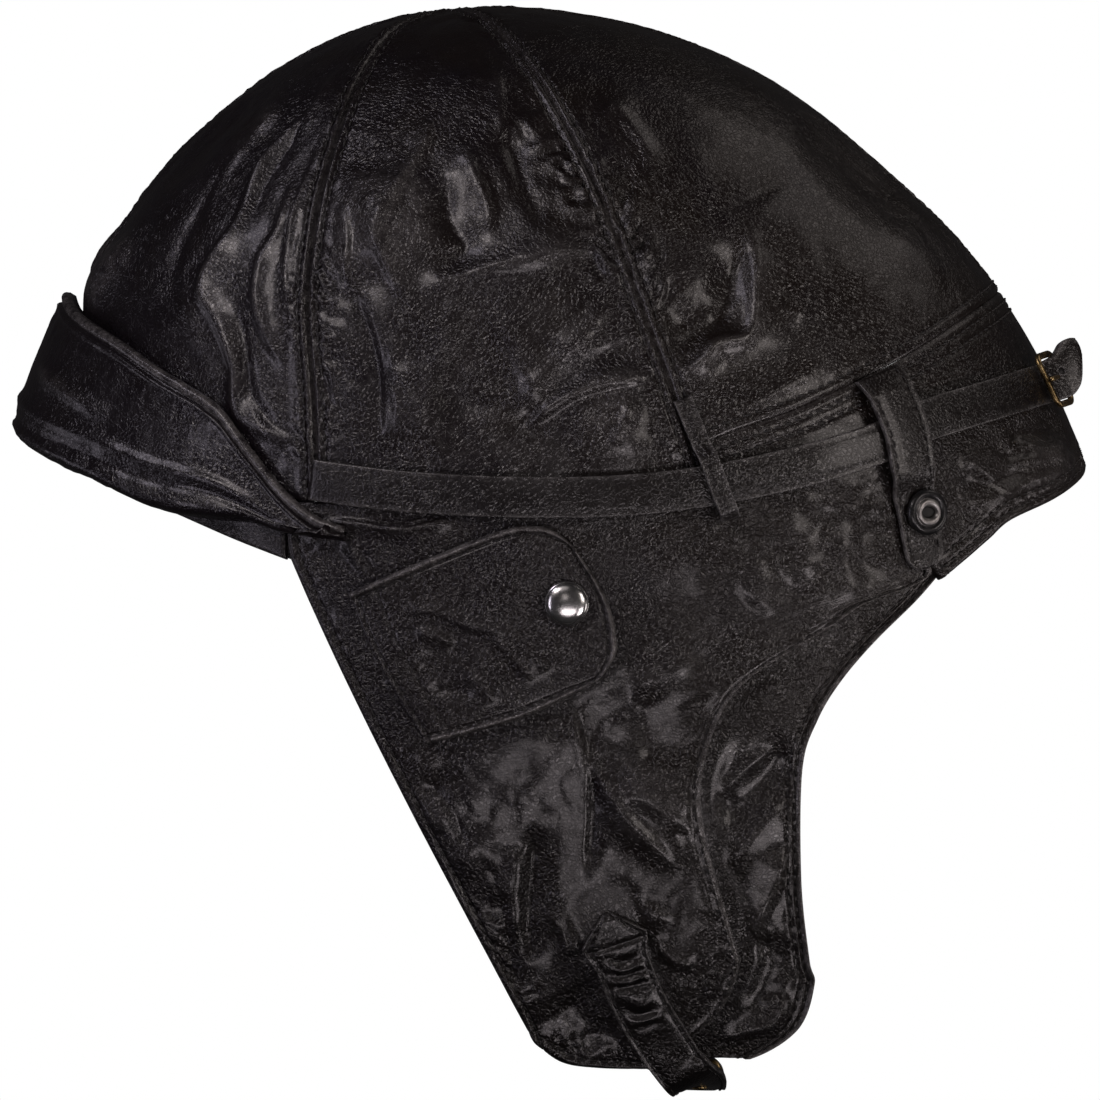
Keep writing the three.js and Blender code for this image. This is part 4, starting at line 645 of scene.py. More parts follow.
ENAMEL = metal(
    "black_enamel", colour(0.012, 0.012, 0.013), colour(0.03, 0.028, 0.026), (0.22, 0.36), (0.5, 0.8),
    metallic=0.2)
# A near-black disc of painted shade, put where a hole would show only shade
HOLE_SHADE = metal(
    "painted_hole_shade", colour(0.006, 0.006, 0.006), colour(0.012, 0.011, 0.010), (0.5, 0.7), (0.4, 0.7),
    metallic=0.0)
BRASS = metal(
    "antique_brass", colour(0.42, 0.31, 0.15), colour(0.11, 0.075, 0.035), (0.24, 0.42), (0.38, 0.66))


# Panels: a base grid on the form, its normals and the distances to its four edges
class Panel:
    def __init__(self, base):
        self.base = base
        self.normals = normal_at(base)
        across = np.linalg.norm(np.diff(base, axis=1), axis=-1)
        down = np.linalg.norm(np.diff(base, axis=0), axis=-1)
        rows, columns = base.shape[:2]
        self.first = np.concatenate([np.zeros((rows, 1)), np.cumsum(across, 1)], 1)
        self.second = self.first[:, -1:] - self.first
        self.top = np.concatenate([np.zeros((1, columns)), np.cumsum(down, 0)], 0)
        self.foot = self.top[-1:] - self.top
        self.edges = {"first": self.first, "second": self.second, "top": self.top, "foot": self.foot}
        self.outer = base.copy()

    def lifted(self, height):
        return self.base + self.normals * np.broadcast_to(height, self.base.shape[:-1])[..., None]


def packed(count, tightness=1.2):
    """Shares from 0 to 1 that lie closer together near both ends."""
    share = np.linspace(-1, 1, count + 1)
    return 0.5 * (1 + np.tanh(tightness * share) / np.tanh(tightness))


def gore_panel(first, second, foot, columns, rows):
    """A panel between two seams that meet at the apex."""
    across, up = np.meshgrid(packed(columns), packed(rows, 1.0))
    climb = up * (1 - TIP_GAP / CROWN_HEIGHT)
    left, right = unit(first.along(climb)), unit(second.along(climb))
    width = np.linalg.norm(along_ray(left) - along_ray(right), axis=-1)
    inset = np.minimum(SEAM_GAP / 2 / width, 0.35)
    share = mix(inset, 1 - inset, across)[..., None]
    corner = mix(first.along(0.0), second.along(0.0), share)
    bow = (foot.along(share[..., 0]) - corner) * ((1 - climb) ** 2)[..., None]
    base = along_ray(unit(mix(left, right, share) + bow))
    return Panel(base[::-1])


def coons_panel(top, foot, first, second, columns, rows, tight=(1.2, 1.2)):
    """A panel between four edges, each given by share as turn and height."""
    def raw(u, v):
        across, down = u[..., None], v[..., None]
        corners = (top(0.0) * (1 - across) * (1 - down) + top(1.0) * across * (1 - down)
                   + foot(0.0) * (1 - across) * down + foot(1.0) * across * down)
        return (top(u) * (1 - down) + foot(u) * down + first(v) * (1 - across) + second(v) * across - corners)

    def span(start, end):
        ends = [on_form(spot[..., 0], spot[..., 1]) for spot in (start, end)]
        return np.maximum(np.linalg.norm(ends[0] - ends[1], axis=-1), 0.4)

    u, v = np.meshgrid(packed(columns, tight[0]), packed(rows, tight[1]))
    inset_u = np.minimum(SEAM_GAP / 2 / span(raw(0 * v, v), raw(0 * v + 1, v)), 0.35)
    inset_v = np.minimum(SEAM_GAP / 2 / span(raw(u, 0 * u), raw(u, 0 * u + 1)), 0.35)
    spot = raw(mix(inset_u, 1 - inset_u, u), mix(inset_v, 1 - inset_v, v))
    return Panel(on_form(spot[..., 0], spot[..., 1]))


def straight(start, end):
    return lambda share: mix(np.array(start), np.array(end), np.asarray(share)[..., None])


def belt_turns(curve, start, end):
    def at(share):
        turn = mix(start, end, np.asarray(share, float))
        return np.stack([turn, height_on(curve, turn)], -1)
    return at


# Meshes
def split_quads(polygons):
    return np.concatenate([polygons[:, [0, k, k + 1]] for k in range(1, polygons.shape[1] - 1)])


def outward(vertices, polygons):
    triangles = np.concatenate([split_quads(group) for group in polygons if len(group)])
    a, b, c = (vertices[triangles[:, k]] for k in range(3))
    if np.sum(a * np.cross(b, c)) < 0:
        return [group[:, ::-1] for group in polygons]
    return polygons


class Shape:
    """Vertices, polygons, material numbers and a paling for rubbed places that also paints highlights,
    gathered part by part.
    """

    def __init__(self):
        self.vertices, self.polygons, self.materials, self.wear, self.count = [], [], [], [], 0

    def add(self, vertices, polygons, material=0, wear=0.0):
        """Add a closed part. The material is one number, or a row of numbers for each group of polygons."""
        vertices = np.asarray(vertices, float).reshape(-1, 3)
        polygons = outward(vertices, [np.asarray(group, int) for group in polygons])
        numbers = material if isinstance(material, list) else [material] * len(polygons)
        for group, number in zip(polygons, numbers):
            self.polygons.append(group + self.count)
            self.materials.append(np.broadcast_to(number, len(group)))
        self.wear.append(np.broadcast_to(wear, len(vertices)))
        self.vertices.append(vertices)
        self.count += len(vertices)

    def build(self, name, materials, slot, nodes, side="left"):
        """Make the piece. A right piece is built on the left and mirrored, where its side is given."""
        vertices = np.concatenate(self.vertices)
        polygons = self.polygons
        if side == "right":
            vertices = vertices * [1, -1, 1]
            polygons = [group[:, ::-1] for group in polygons]
        mesh = bpy.data.meshes.new(name)
        mesh.vertices.add(len(vertices))
        mesh.vertices.foreach_set("co", (vertices / 1000).astype(np.float32).ravel())
        loops = np.concatenate([group.ravel() for group in polygons]).astype(np.int32)
        sizes = np.concatenate([np.full(len(group), group.shape[1]) for group in polygons])
        starts = np.concatenate([[0], np.cumsum(sizes)[:-1]])
        mesh.loops.add(len(loops))
        mesh.loops.foreach_set("vertex_index", loops)
        mesh.polygons.add(len(sizes))
        mesh.polygons.foreach_set("loop_start", starts.astype(np.int32))
        mesh.polygons.foreach_set("material_index", np.concatenate(self.materials).astype(np.int32))
        mesh.polygons.foreach_set("use_smooth", np.ones(len(sizes), bool))
        mesh.update(calc_edges=True)
        mesh.validate()
        wear = mesh.attributes.new("wear", "FLOAT", "POINT")
        wear.data.foreach_set("value", np.concatenate(self.wear).astype(np.float32))
        for material in materials:
            mesh.materials.append(material)
        piece = bpy.data.objects.new(name, mesh)
        bpy.context.scene.collection.objects.link(piece)
        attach(piece, "root")
        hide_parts(*nodes)
        return piece


def grid_faces(rows, columns, start=0):
    corner = start + np.arange(rows)[:, None] * (columns + 1) + np.arange(columns)[None]
    return np.stack([corner, corner + 1, corner + columns + 2, corner + columns + 1], -1).reshape(-1, 4)


def wall(shape, outer, inner, wear=0.0):
    """A closed wall: a fine outer grid, an inner grid of every second point, and a strip between the two."""
    rows, columns = outer.shape[0] - 1, outer.shape[1] - 1
    inner = inner[::2, ::2]
    layer = (rows + 1) * (columns + 1)
    inner_rows, inner_columns = rows // 2, columns // 2
    back = grid_faces(inner_rows, inner_columns, layer)[:, ::-1]

    def border(row_count, column_count, start):
        stride = column_count + 1
        top = np.arange(column_count)
        right = np.arange(row_count) * stride + column_count
        foot = row_count * stride + np.arange(column_count, 0, -1)
        left = np.arange(row_count, 0, -1) * stride
        return start + np.concatenate([top, right, foot, left])

    outside, inside = border(rows, columns, 0), border(inner_rows, inner_columns, layer)
    first, middle, last = outside[0::2], outside[1::2], np.roll(outside, -2)[0::2]
    near, far = inside, np.roll(inside, -1)
    corners = ((first, near, middle), (middle, near, far), (middle, far, last))
    strip = np.concatenate([np.stack(row, -1) for row in corners])
    worn_and_lit = np.concatenate([np.broadcast_to(wear, outer.shape[:2]).ravel(), np.zeros(inner[..., 0].size)])
    vertices = np.concatenate([outer.reshape(-1, 3), inner.reshape(-1, 3)])
    shape.add(vertices, [np.concatenate([grid_faces(rows, columns), back]), strip], 0, worn_and_lit)


def leather_wall(panel, height, inner, wear):
    """A new shape with the wall between two heights of a panel."""
    panel.outer = panel.lifted(height)
    shape = Shape()
    wall(shape, panel.outer, panel.lifted(inner), wear)
    return shape


def ring_quads(count, sides, closed=False):
    """Quads between successive rings of a tube."""
    row, column = np.arange(count if closed else count - 1)[:, None], np.arange(sides)[None]
    here, there, after = row * sides, ((row + 1) % count) * sides, (column + 1) % sides
    corners = np.broadcast_arrays(here + column, here + after, there + after, there + column)
    return np.stack(corners, -1).reshape(-1, 4)


def end_fans(count, sides):
    """Triangles that close a tube's two ends, whose middles follow its rings."""
    column = np.arange(sides)
    after = (column + 1) % sides
    low, last = count * sides, (count - 1) * sides
    return np.concatenate([
        np.stack([np.full(sides, low), after, column], -1),
        np.stack([np.full(sides, low + 1), last + column, last + after], -1)])


def loft(shape, rings, wear=0.0, material=0, closed=False):
    """A tube through rings of points. The paling for rubbed places, which also paints highlights, is one
    number, or one for each point of a ring.
    """
    count, sides = rings.shape[:2]
    vertices = rings.reshape(-1, 3)
    worn_and_lit = np.broadcast_to(wear, rings.shape[:2]).ravel()
    if closed:
        shape.add(vertices, [ring_quads(count, sides, closed=True)], material, worn_and_lit)
        return
    vertices = np.concatenate([vertices, [rings[0].mean(0), rings[-1].mean(0)]])
    worn_and_lit = np.concatenate([worn_and_lit, [0, 0]])
    shape.add(vertices, [ring_quads(count, sides), end_fans(count, sides)], material, worn_and_lit)


def around_circle(sides):
    return np.arange(sides) * 2 * np.pi / sides


CORD_END = 0.35


def tube(shape, path, radius, sides, normals, wear=0.0, closed=False, flat=1.0):
    """A round cord along points, with narrower ends."""
    path = np.asarray(path, float)
    tangents = unit(np.roll(path, -1, 0) - np.roll(path, 1, 0) if closed else np.gradient(path, axis=0))
    across = unit(np.cross(tangents, normals))
    up = np.cross(across, tangents)
    angle = around_circle(sides)
    radii = np.broadcast_to(radius, len(path)).astype(float).copy()
    if not closed:
        radii[[0, -1]] *= CORD_END
    rings = (path[:, None] + across[:, None] * (np.cos(angle) * radii[:, None])[..., None]
             + up[:, None] * (np.sin(angle) * radii[:, None] * flat)[..., None])
    loft(shape, rings, wear, closed=closed)


# Rings of one stitch: share of its length, and share of its radius
STITCH_RINGS = np.array([(0.04, 0.45), (0.2, 0.95), (0.5, 1.0), (0.8, 0.95), (0.96, 0.45)])
STITCH_SIDES, STITCH_GAP, STITCH_RISE, STITCH_UNEVEN = 6, 0.75, 0.3, 0.04


def stitches(shape, path, normals, seed, length=1.9, radius=0.27, slant=0.0):
    """A row of thread stitches along points, each an arched strand that dips into the leather."""
    path, normals = np.asarray(path, float), unit(np.asarray(normals, float))
    steps = np.concatenate([[0], np.cumsum(np.linalg.norm(np.diff(path, axis=0), axis=1))])
    total = steps[-1]
    count = int(total / (length + STITCH_GAP))
    if count < 1:
        return
    draw = np.random.default_rng(seed)
    begin = (np.arange(count) + 0.5) * total / count - length / 2
    share = STITCH_RINGS[:, 0]
    at = begin[:, None] + share[None] * length

    def read(values, where):
        return np.stack([np.interp(where, steps, values[:, k]) for k in range(3)], -1)

    centre = read(path, at)
    up = unit(read(normals, at))
    along = unit(centre[:, -1] - centre[:, 0])[:, None]
    across = unit(np.cross(along, up))
    tilt = (slant + draw.normal(0, STITCH_UNEVEN, count))[:, None]
    centre = centre + across * ((share[None] - 0.5) * length * tilt)[..., None]
    arch = np.sin(np.pi * share)[None] * STITCH_RISE - STITCH_RISE * 0.55 + radius * 0.35
    centre = centre + up * arch[..., None]
    angle = around_circle(STITCH_SIDES)
    radii = radius * STITCH_RINGS[:, 1]
    rings = (centre[:, :, None] + across[:, :, None] * (np.cos(angle) * radii[:, None])[None, ..., None]
             + up[:, :, None] * (np.sin(angle) * radii[:, None])[None, ..., None])
    beyond = along[:, 0] * radius * 0.4
    tips = np.stack([centre[:, 0] - beyond, centre[:, -1] + beyond], 1)
    vertices = np.concatenate([rings.reshape(count, -1, 3), tips], 1)
    offsets = (np.arange(count) * vertices.shape[1])[:, None, None]
    quads, fans = ring_quads(len(share), STITCH_SIDES), end_fans(len(share), STITCH_SIDES)
    shape.add(vertices, [(quads + offsets).reshape(-1, 4), (fans + offsets).reshape(-1, 3)], 1)


def row_inside(panel, edge, distance):
    """Points and normals of a finished panel at a distance from one of its edges."""
    field, surface, normals = panel.edges[edge], panel.outer, panel.normals
    if edge in ("top", "foot"):
        field, surface, normals = field.T, surface.transpose(1, 0, 2), normals.transpose(1, 0, 2)
    if edge in ("second", "foot"):
        field, surface, normals = field[:, ::-1], surface[:, ::-1], normals[:, ::-1]
    points, ups = [], []
    for line, spots, up in zip(field, surface, normals):
        if line[-1] < distance * 2.4:
            continue
        at = min(max(np.searchsorted(line, distance), 1), len(line) - 1)
        share = (distance - line[at - 1]) / max(line[at] - line[at - 1], 1e-9)
        points.append(mix(spots[at - 1], spots[at], share))
        ups.append(mix(up[at - 1], up[at], share))
    return np.array(points), np.array(ups)


def stitch_rows(shape, panel, rows, cut=0, **settings):
    """A row of stitches for each edge and distance, with some points cut off at both ends."""
    for edge, distance in rows:
        path, ups = row_inside(panel, edge, distance)
        kept = slice(cut, len(path) - cut)
        stitches(shape, path[kept], ups[kept], **settings)


# What lies on a panel keeps its folds down
def on_chart(curve):
    return lambda share: on_form(*np.moveaxis(curve.along(share), -1, 0))


def laid_paths():
    """Points under the straps and tabs, each row with the strap's half width."""
    strap = on_form(*np.moveaxis(STRAP_CHART.at(np.linspace(0, 1, 120)), -1, 0))
    rows = [(strap, STRAP_WIDTH / 2)]
    for line, half, count in (
            (TAB_LINE, TAB_WIDTH / 2, 40), (LOOP_LINE, LOOP_WIDTH / 2, 30),
            (CHIN_LINE, CHIN_PEAK_WIDTH / 2 - 1, 30)):
        spots = chart_curve(line).at(np.linspace(0, 1, count))
        rows.append((on_form(*np.moveaxis(spots, -1, 0)), half))
    return rows


def distance_to(points, spots, block=8000):
    flat = points.reshape(-1, 3)
    nearest = np.empty(len(flat))
    for start in range(0, len(flat), block):
        part = flat[start:start + block]
        nearest[start:start + block] = np.sqrt(np.min(np.sum((part[:, None] - spots[None]) ** 2, -1), 1))
    return nearest.reshape(points.shape[:-1])


def laid_mask(base, with_cover=False):
    left = base.copy()
    left[..., 1] = -np.abs(left[..., 1])
    mask = np.ones(base.shape[:-1])
    for spots, half in LAID:
        mask *= smooth((distance_to(left, spots) - half + 0.3) / 3.2)
    if with_cover:
        mask *= smooth((distance_to(left, COVER_SPOTS) - 1.2) / 3.5)
    return mask


# Profiles across seams and hems, and the uneven lie of the leather
def seam_profile(distance, strength=1.0):
    return strength * (
        -0.7 * bell(distance, 0, 0.45) + 0.4 * bell(distance, 1.2, 0.65)
        - 0.26 * bell(distance, SEAM_ROW, 0.4) + 0.14 * bell(distance, 3.6, 1.1))


def rolled(distance, radius):
    inside = np.clip(1 - distance / radius, 0, 1)
    return -radius * (1 - np.sqrt(1 - inside**2))


def hem_profile(distance, line=HEM_ROW):
    raised = 0.32 * bell(distance, line * 0.5, line * 0.33)
    return raised - 0.34 * bell(distance, line, 0.45) + rolled(distance, 0.85)


def puckers(base, along, distance, seed, amount=0.3, pitch=3.4, reach=2.6, centre=2.8, slant=0.35):
    """Small gathers that run out from a stitched seam."""
    drift = noise(base, 9, seed) * 1.6
    strength = 0.35 + 0.9 * smooth(0.5 + 1.3 * noise(base, 17, seed + 1))
    wave = np.cos(2 * np.pi * ((along + slant * distance) / pitch + drift))
    return amount * strength * wave * bell(distance, centre, reach) * smooth(distance / 1.2)


def skin(place, amount=1.0, seed=3):
    """The uneven lie of soft leather: broad swells, puffs between creases and fine crumples."""
    busy = smooth(0.5 + noise(place, 26, seed + 3) * 1.5)
    swell = 0.7 * noise(place, 34, seed) + 0.22 * noise(place, 14, seed + 1)
    puffed = 0.9 * puffs(place * [1, 1, 0.75], 17, seed + 2) + 0.6 * puffs(place, 8, seed + 30) * busy
    fine = 0.3 * puffs(place, 3.6, seed + 50) * (0.3 + 0.7 * busy)
    return amount * (swell + puffed + fine)


def shoulder_trim(base):
    """The crown lies a little flatter at its front and rear shoulders."""
    fall = np.zeros(base.shape[:-1])
    for spot, reach, depth in SHOULDERS:
        middle = seen([spot])[0]
        away = np.hypot(base[..., 0] - middle[0], base[..., 2] - middle[1])
        fall = fall - depth * bell(away, 0, reach)
    return fall


def true_place(base, side):
    return base * [1, -1 if side == "right" else 1, 1]


def worn_and_lit_places(height, edge_distance, crest=0.0):
    """Rubbed ridges and edges turn paler, and so does the crest along a raised edge; the paling stands both
    for rubbing and for painted highlights.
    """
    rubbed = 0.35 * smooth(height / 1.8) + 0.65 * np.exp(-edge_distance / 0.7)
    return np.clip(rubbed + crest * bell(edge_distance, 0.85, 0.7), 0, 1)


def zone(value, low, high, soft):
    return smooth((value - low) / soft) * smooth((high - value) / soft)


# Crown
def find_apex():
    x, low, high = length_at(APEX_ALONG), 0.0, float(CROWN_HEIGHT)
    for _ in range(44):
        middle = (low + high) / 2
        low, high = (low, middle) if outsideness(x, 0, middle) > 0 else (middle, high)
    return unit(np.array([x, 0.0, low]))


APEX = find_apex()
STRAP_CHART = chart_curve(STRAP_LINE, (np.pi, height_at(0.207)))
BELT_CHART = chart_curve(BELT_LINE, (np.pi, height_at(0.2)))
COVER_EDGES = [chart_curve(rows).along for rows in (COVER_TOP, COVER_FOOT, COVER_FRONT, COVER_BACK)]
LAID = laid_paths()
COVER_SPOTS = coons_panel(*COVER_EDGES, 26, 22).base.reshape(-1, 3)


def centre_meridian(foot):
    angles = np.linspace(np.arctan2(foot[2], -foot[0]), np.arctan2(APEX[2], -APEX[0]), 9)
    return Curve(np.stack([-np.cos(angles), 0 * angles, np.sin(angles)], -1), centripetal=True)


front_meridian = centre_meridian(on_form(0, height_at(FRONT_FOOT[0][1])))
rear_meridian = centre_meridian(on_form(np.pi, height_at(NAPE_SEAM[-1][1])))
front_seam, rear_seam = direction_curve(FRONT_SEAM, APEX), direction_curve(REAR_SEAM, APEX)
rear_seam_upper = direction_curve([NAPE_SEAM[0]] + REAR_SEAM[1:], APEX)
# Each row: first and second seam, foot, columns and rows
GORES = {
    "crown_front": (front_meridian, front_seam, direction_curve(FRONT_FOOT), 110, 150),
    "crown_side": (front_seam, rear_seam, direction_curve(BELT_LINE[1:6]), 124, 150),
    "crown_rear": (rear_seam_upper, rear_meridian, direction_curve(NAPE_SEAM), 116, 144),
}


def seam_relief(name, edge, panel, place, mask):
    """The seam groove and its gathers along one side of a gore."""
    tight = smooth(panel.top / 12)
    z, distance = panel.base[..., 2], panel.edges[edge]
    on_centre = (name, edge) in (("crown_front", "first"), ("crown_rear", "second"))
    relief = [seam_profile(distance) * (0.25 + 0.75 * tight)]
    seed, amount = (60 if edge == "first" else 70), (0.16 if on_centre else 0.3)
    relief.append(puckers(place, panel.top, distance, seed, amount) * tight * mask)
    if (name, edge) == ("crown_side", "first"):
        rungs = puckers(place, panel.top, distance, 81, 0.9, 3.9, 2.8, 3.8, -0.5)
        relief.append(rungs * zone(z, 4, 60, 8) * mask)
    if (name, edge) in (("crown_side", "second"), ("crown_rear", "first")):
        gathers = puckers(place, panel.top, distance, 83, 1.0, 4.8, 4.5, 4.5, 0.6)
        relief.append(gathers * zone(z, 34, 84, 9))
    return relief


def gore(name, side):
    panel = gore_panel(*GORES[name])
    place = true_place(panel.base, side)
    near_seam = np.minimum(panel.first, panel.second)
    quiet = (0.2 + 0.8 * smooth(near_seam / 3.2)) * smooth(panel.foot / 5) * smooth(panel.top / 9)
    mask = laid_mask(panel.base)
    folds = fold_height("crown", panel.base, side)
    lie = skin(place, 0.8 if name != "crown_rear" else 0.55)
    height = (folds + lie) * quiet * mix(LAID_KEEPS, 1, mask)
    for edge in ("first", "second"):
        for relief in seam_relief(name, edge, panel, place, mask):
            height = height + relief
    height = height + (seam_profile(panel.foot, 0.4) if name == "crown_rear" else rolled(panel.foot, 0.7))
    rows = [("first", SEAM_ROW), ("second", SEAM_ROW)]
    if name == "crown_rear":
        height = height + puckers(place, panel.first, panel.foot, 90, 0.16)
        rows.append(("foot", SEAM_ROW))
    trim = shoulder_trim(panel.base)
    inner = -GORE_LEATHER + trim + (folds + lie) * quiet * INNER_FOLLOWS * mix(LAID_KEEPS, 1, mask)
    shape = leather_wall(panel, height + trim, inner, worn_and_lit_places(folds, near_seam))
    for number, row in enumerate(rows):
        stitch_rows(shape, panel, [row], seed=20 + number, slant=SEAM_SLANT)
    shape.build(f"{name}_{side}_leather", [GORE_SKIN, THREAD], "gore_leather", [f"{name}_{side}"], side)


for side in SIDES:
    for name in GORES:
        gore(name, side)


# Ear flaps and the lapped gussets behind them
flap_front_top, tab_seam_top = chart_point(FLAP_FRONT[0]), chart_point(TAB_SEAM[0])
gusset_seam, gusset_edge = chart_curve(GUSSET_SEAM), chart_curve(GUSSET_EDGE)


def gusset_outer(share):
    return gusset_edge.along(np.asarray(share, float) * GUSSET_SHARE)


def gusset_inner(share):
    share = np.asarray(share, float)
    return mix(gusset_outer(share), gusset_seam.along(mix(0.005, GUSSET_SHARE, share)), 1 + GUSSET_LAP)


def ear_flap(side):
    panel = coons_panel(
        belt_turns(BELT_CHART, flap_front_top[0], tab_seam_top[0]), chart_curve(FLAP_FOOT).along,
        chart_curve(FLAP_FRONT).along, chart_curve(TAB_SEAM + GUSSET_SEAM[1:]).along, 150, 170)
    place = true_place(panel.base, side)
    mask = laid_mask(panel.base, with_cover=True)
    edge = np.minimum(np.minimum(panel.first, panel.second), panel.foot)
    quiet = (0.15 + 0.85 * smooth(edge / 4)) * smooth(panel.top / 3)
    folds = fold_height("flap", panel.base, side)
    body = (folds + skin(place, 0.75, 13)) * quiet * mask
    height = body + hem_profile(panel.first) + hem_profile(panel.foot)
    height = height + FLAP_BEAD * hem_profile(panel.second, BEAD_ROW) + rolled(panel.top, 0.6)
    for along, distance, seed in (
            (panel.top, panel.first, 100), (panel.first, panel.foot, 102), (panel.top, panel.second, 104)):
        height = height + puckers(place, along, distance, seed, 0.13, 5.5, 3.2, 3.6, 0.2) * mask
    worn_and_lit = worn_and_lit_places(folds, panel.second, FLAP_CREST_SHEEN)
    shape = leather_wall(panel, height, -FLAP_LEATHER + body * INNER_FOLLOWS, worn_and_lit)
    rows = [("first", HEM_ROW), ("foot", HEM_ROW), ("second", BEAD_ROW)]
    stitch_rows(shape, panel, rows, seed=30, **FINE_THREAD)
    shape.build(f"ear_flap_{side}_leather", [FLAP_SKIN, THREAD], "flap_leather", [f"ear_flap_{side}"], side)


def cheek_gusset(side):
    depth = FLAP_LEATHER + LAY_GAP
    panel = coons_panel(
        straight(gusset_inner(0.0), gusset_outer(0.0)), straight(gusset_inner(1.0), gusset_outer(1.0)),
        gusset_inner, gusset_outer, 46, 170, tight=(1.1, 1.2))
    place = true_place(panel.base, side)
    under = smooth((panel.first - 6) / 5)
    folds = fold_height("gusset", panel.base, side)
    body = (folds + skin(place, 0.7, 23)) * under * smooth(panel.second / 4) * laid_mask(panel.base)
    height = body + GUSSET_BEAD * hem_profile(panel.second, GUSSET_ROW)
    height = height - 0.4 * bell(panel.second, GUSSET_LINE, 0.4)
    height = height + rolled(panel.top, 0.8) + rolled(panel.foot, 0.8)
    inner = -GORE_LEATHER - depth + body * INNER_FOLLOWS
    shape = leather_wall(panel, height - depth, inner, worn_and_lit_places(folds, panel.second, SEWN_CREST_SHEEN))
    stitch_rows(shape, panel, [("second", GUSSET_ROW), ("second", GUSSET_LINE)], seed=33, **FINE_THREAD)
    name = f"cheek_gusset_{side}"
    shape.build(f"{name}_leather", [FLAP_SKIN, THREAD], "flap_leather", [name], side)


for side in SIDES:
    ear_flap(side)
    cheek_gusset(side)


# Nape yoke and neck flap, whole round the back, and the forehead band
def across_back(curve, start):
    def at(share):
        share = np.asarray(share, float)
        turn = mix(np.pi, start, np.abs(2 * share - 1))
        return np.stack([np.where(share < 0.5, turn, 2 * np.pi - turn), height_on(curve, turn)], -1)
    return at


def across_front(curve, end):
    def at(share):
        share = np.asarray(share, float)
        turn = np.abs(2 * share - 1) * end
        return np.stack([np.where(share < 0.5, -turn, turn), height_on(curve, turn)], -1)
    return at


def mirrored(edge):
    return lambda share: edge(share) * [-1, 1] + [2 * np.pi, 0]


def nape_yoke():
    spots = along_ray(unit(direction_curve(NAPE_SEAM).along(np.linspace(0, 1, 60))))
    nape_chart = Curve(np.stack([turn_of(spots[:, 0], spots[:, 2]), spots[:, 2]], -1))
    top, foot = chart_point(NAPE_SEAM[0]), chart_point(REAR_SEAM[0])
    yoke_side = straight(top, foot)
    panel = coons_panel(
        across_back(nape_chart, top[0]), across_back(BELT_CHART, foot[0]), yoke_side, mirrored(yoke_side),
        300, 32, tight=(0.4, 1.1))
    body = skin(panel.base, 0.4, 33) * smooth(panel.top / 4) * laid_mask(panel.base)
    height = body + seam_profile(panel.top, 0.4) - 0.3 * bell(panel.top, SECOND_SEAM_ROW, 0.42)
    height = height + rolled(panel.foot, 0.6) + puckers(panel.base, panel.first, panel.top, 110, 0.14)
    height = height + seam_profile(panel.first, 0.6) + seam_profile(panel.second, 0.6)
    shape = leather_wall(panel, height, -GORE_LEATHER + body, worn_and_lit_places(height, panel.top))
    stitch_rows(shape, panel, [("top", SEAM_ROW), ("top", SECOND_SEAM_ROW)], seed=40, slant=SEAM_SLANT)
    shape.build("nape_yoke_leather", [GORE_SKIN, THREAD], "gore_leather", ["nape_yoke"])


def neck_flap():
    neck_foot = chart_curve(NECK_FOOT, (np.pi, height_at(NECK_FOOT_BACK)))
    neck_side = chart_curve(TAB_SEAM[:-1] + NECK_FOOT[:1]).along
    panel = coons_panel(
        across_back(BELT_CHART, tab_seam_top[0]), across_back(neck_foot, chart_point(NECK_FOOT[0])[0]),
        neck_side, mirrored(neck_side), 240, 64, tight=(0.5, 1.1))
    folds = fold_height("neck", panel.base, "left")
    body = (folds + skin(panel.base, 0.9, 43)) * smooth(panel.top / 5) * smooth(panel.foot / 4)
    body = body * laid_mask(panel.base) * smooth(np.minimum(panel.first, panel.second) / 5)
    height = body + hem_profile(panel.foot, NECK_ROW) + rolled(panel.top, 0.6)
    height = height - 0.3 * bell(panel.foot, NECK_LINE, 0.4)
    height = height + seam_profile(panel.first, 0.7) + seam_profile(panel.second, 0.7)
    height = height + puckers(panel.base, panel.first, panel.foot, 112, 0.16, 5.0, 3.0, 3.4)
    shape = leather_wall(panel, height, -FLAP_LEATHER + body * INNER_FOLLOWS, worn_and_lit_places(folds, panel.foot))
    rows = [("foot", NECK_ROW), ("foot", NECK_LINE), ("first", SEAM_ROW), ("second", SEAM_ROW)]
    stitch_rows(shape, panel, rows, seed=44, **FINE_THREAD)
    shape.build("neck_flap_leather", [FLAP_SKIN, THREAD], "flap_leather", ["neck_flap"])


def forehead_band():
    end = flap_front_top[0] - SEAM_GAP * 2 / CROWN_LENGTH
    top, foot = across_front(chart_curve(FRONT_FOOT), end), across_front(chart_curve(RIM), end)
    panel = coons_panel(
        top, foot, straight(top(0.0), foot(0.0)), straight(top(1.0), foot(1.0)), 180, 24, tight=(0.4, 1.0))
    body = skin(panel.base, 0.45, 53) * smooth(panel.top / 4) * smooth(panel.foot / 4)
    height = body + seam_profile(panel.top, 0.8) + rolled(panel.foot, 0.8)
    shape = leather_wall(panel, height, -GORE_LEATHER + body, worn_and_lit_places(height, panel.foot))
    stitch_rows(shape, panel, [("top", SEAM_ROW)], seed=50)
    shape.build("forehead_band_leather", [BAND_SKIN, THREAD], "band_leather", ["forehead_band"])


nape_yoke()
neck_flap()
forehead_band()


# Turned-up brim
BRIM_COLUMNS, BRIM_ROWS = 280, 70
# The pipe's paling stands both for rubbing and for its painted highlight
PIPE_RADIUS, PIPE_DEPTH, PIPE_LIFT, PIPE_WEAR_AND_SHEEN = 1.15, 1.1, 0.4, 0.7


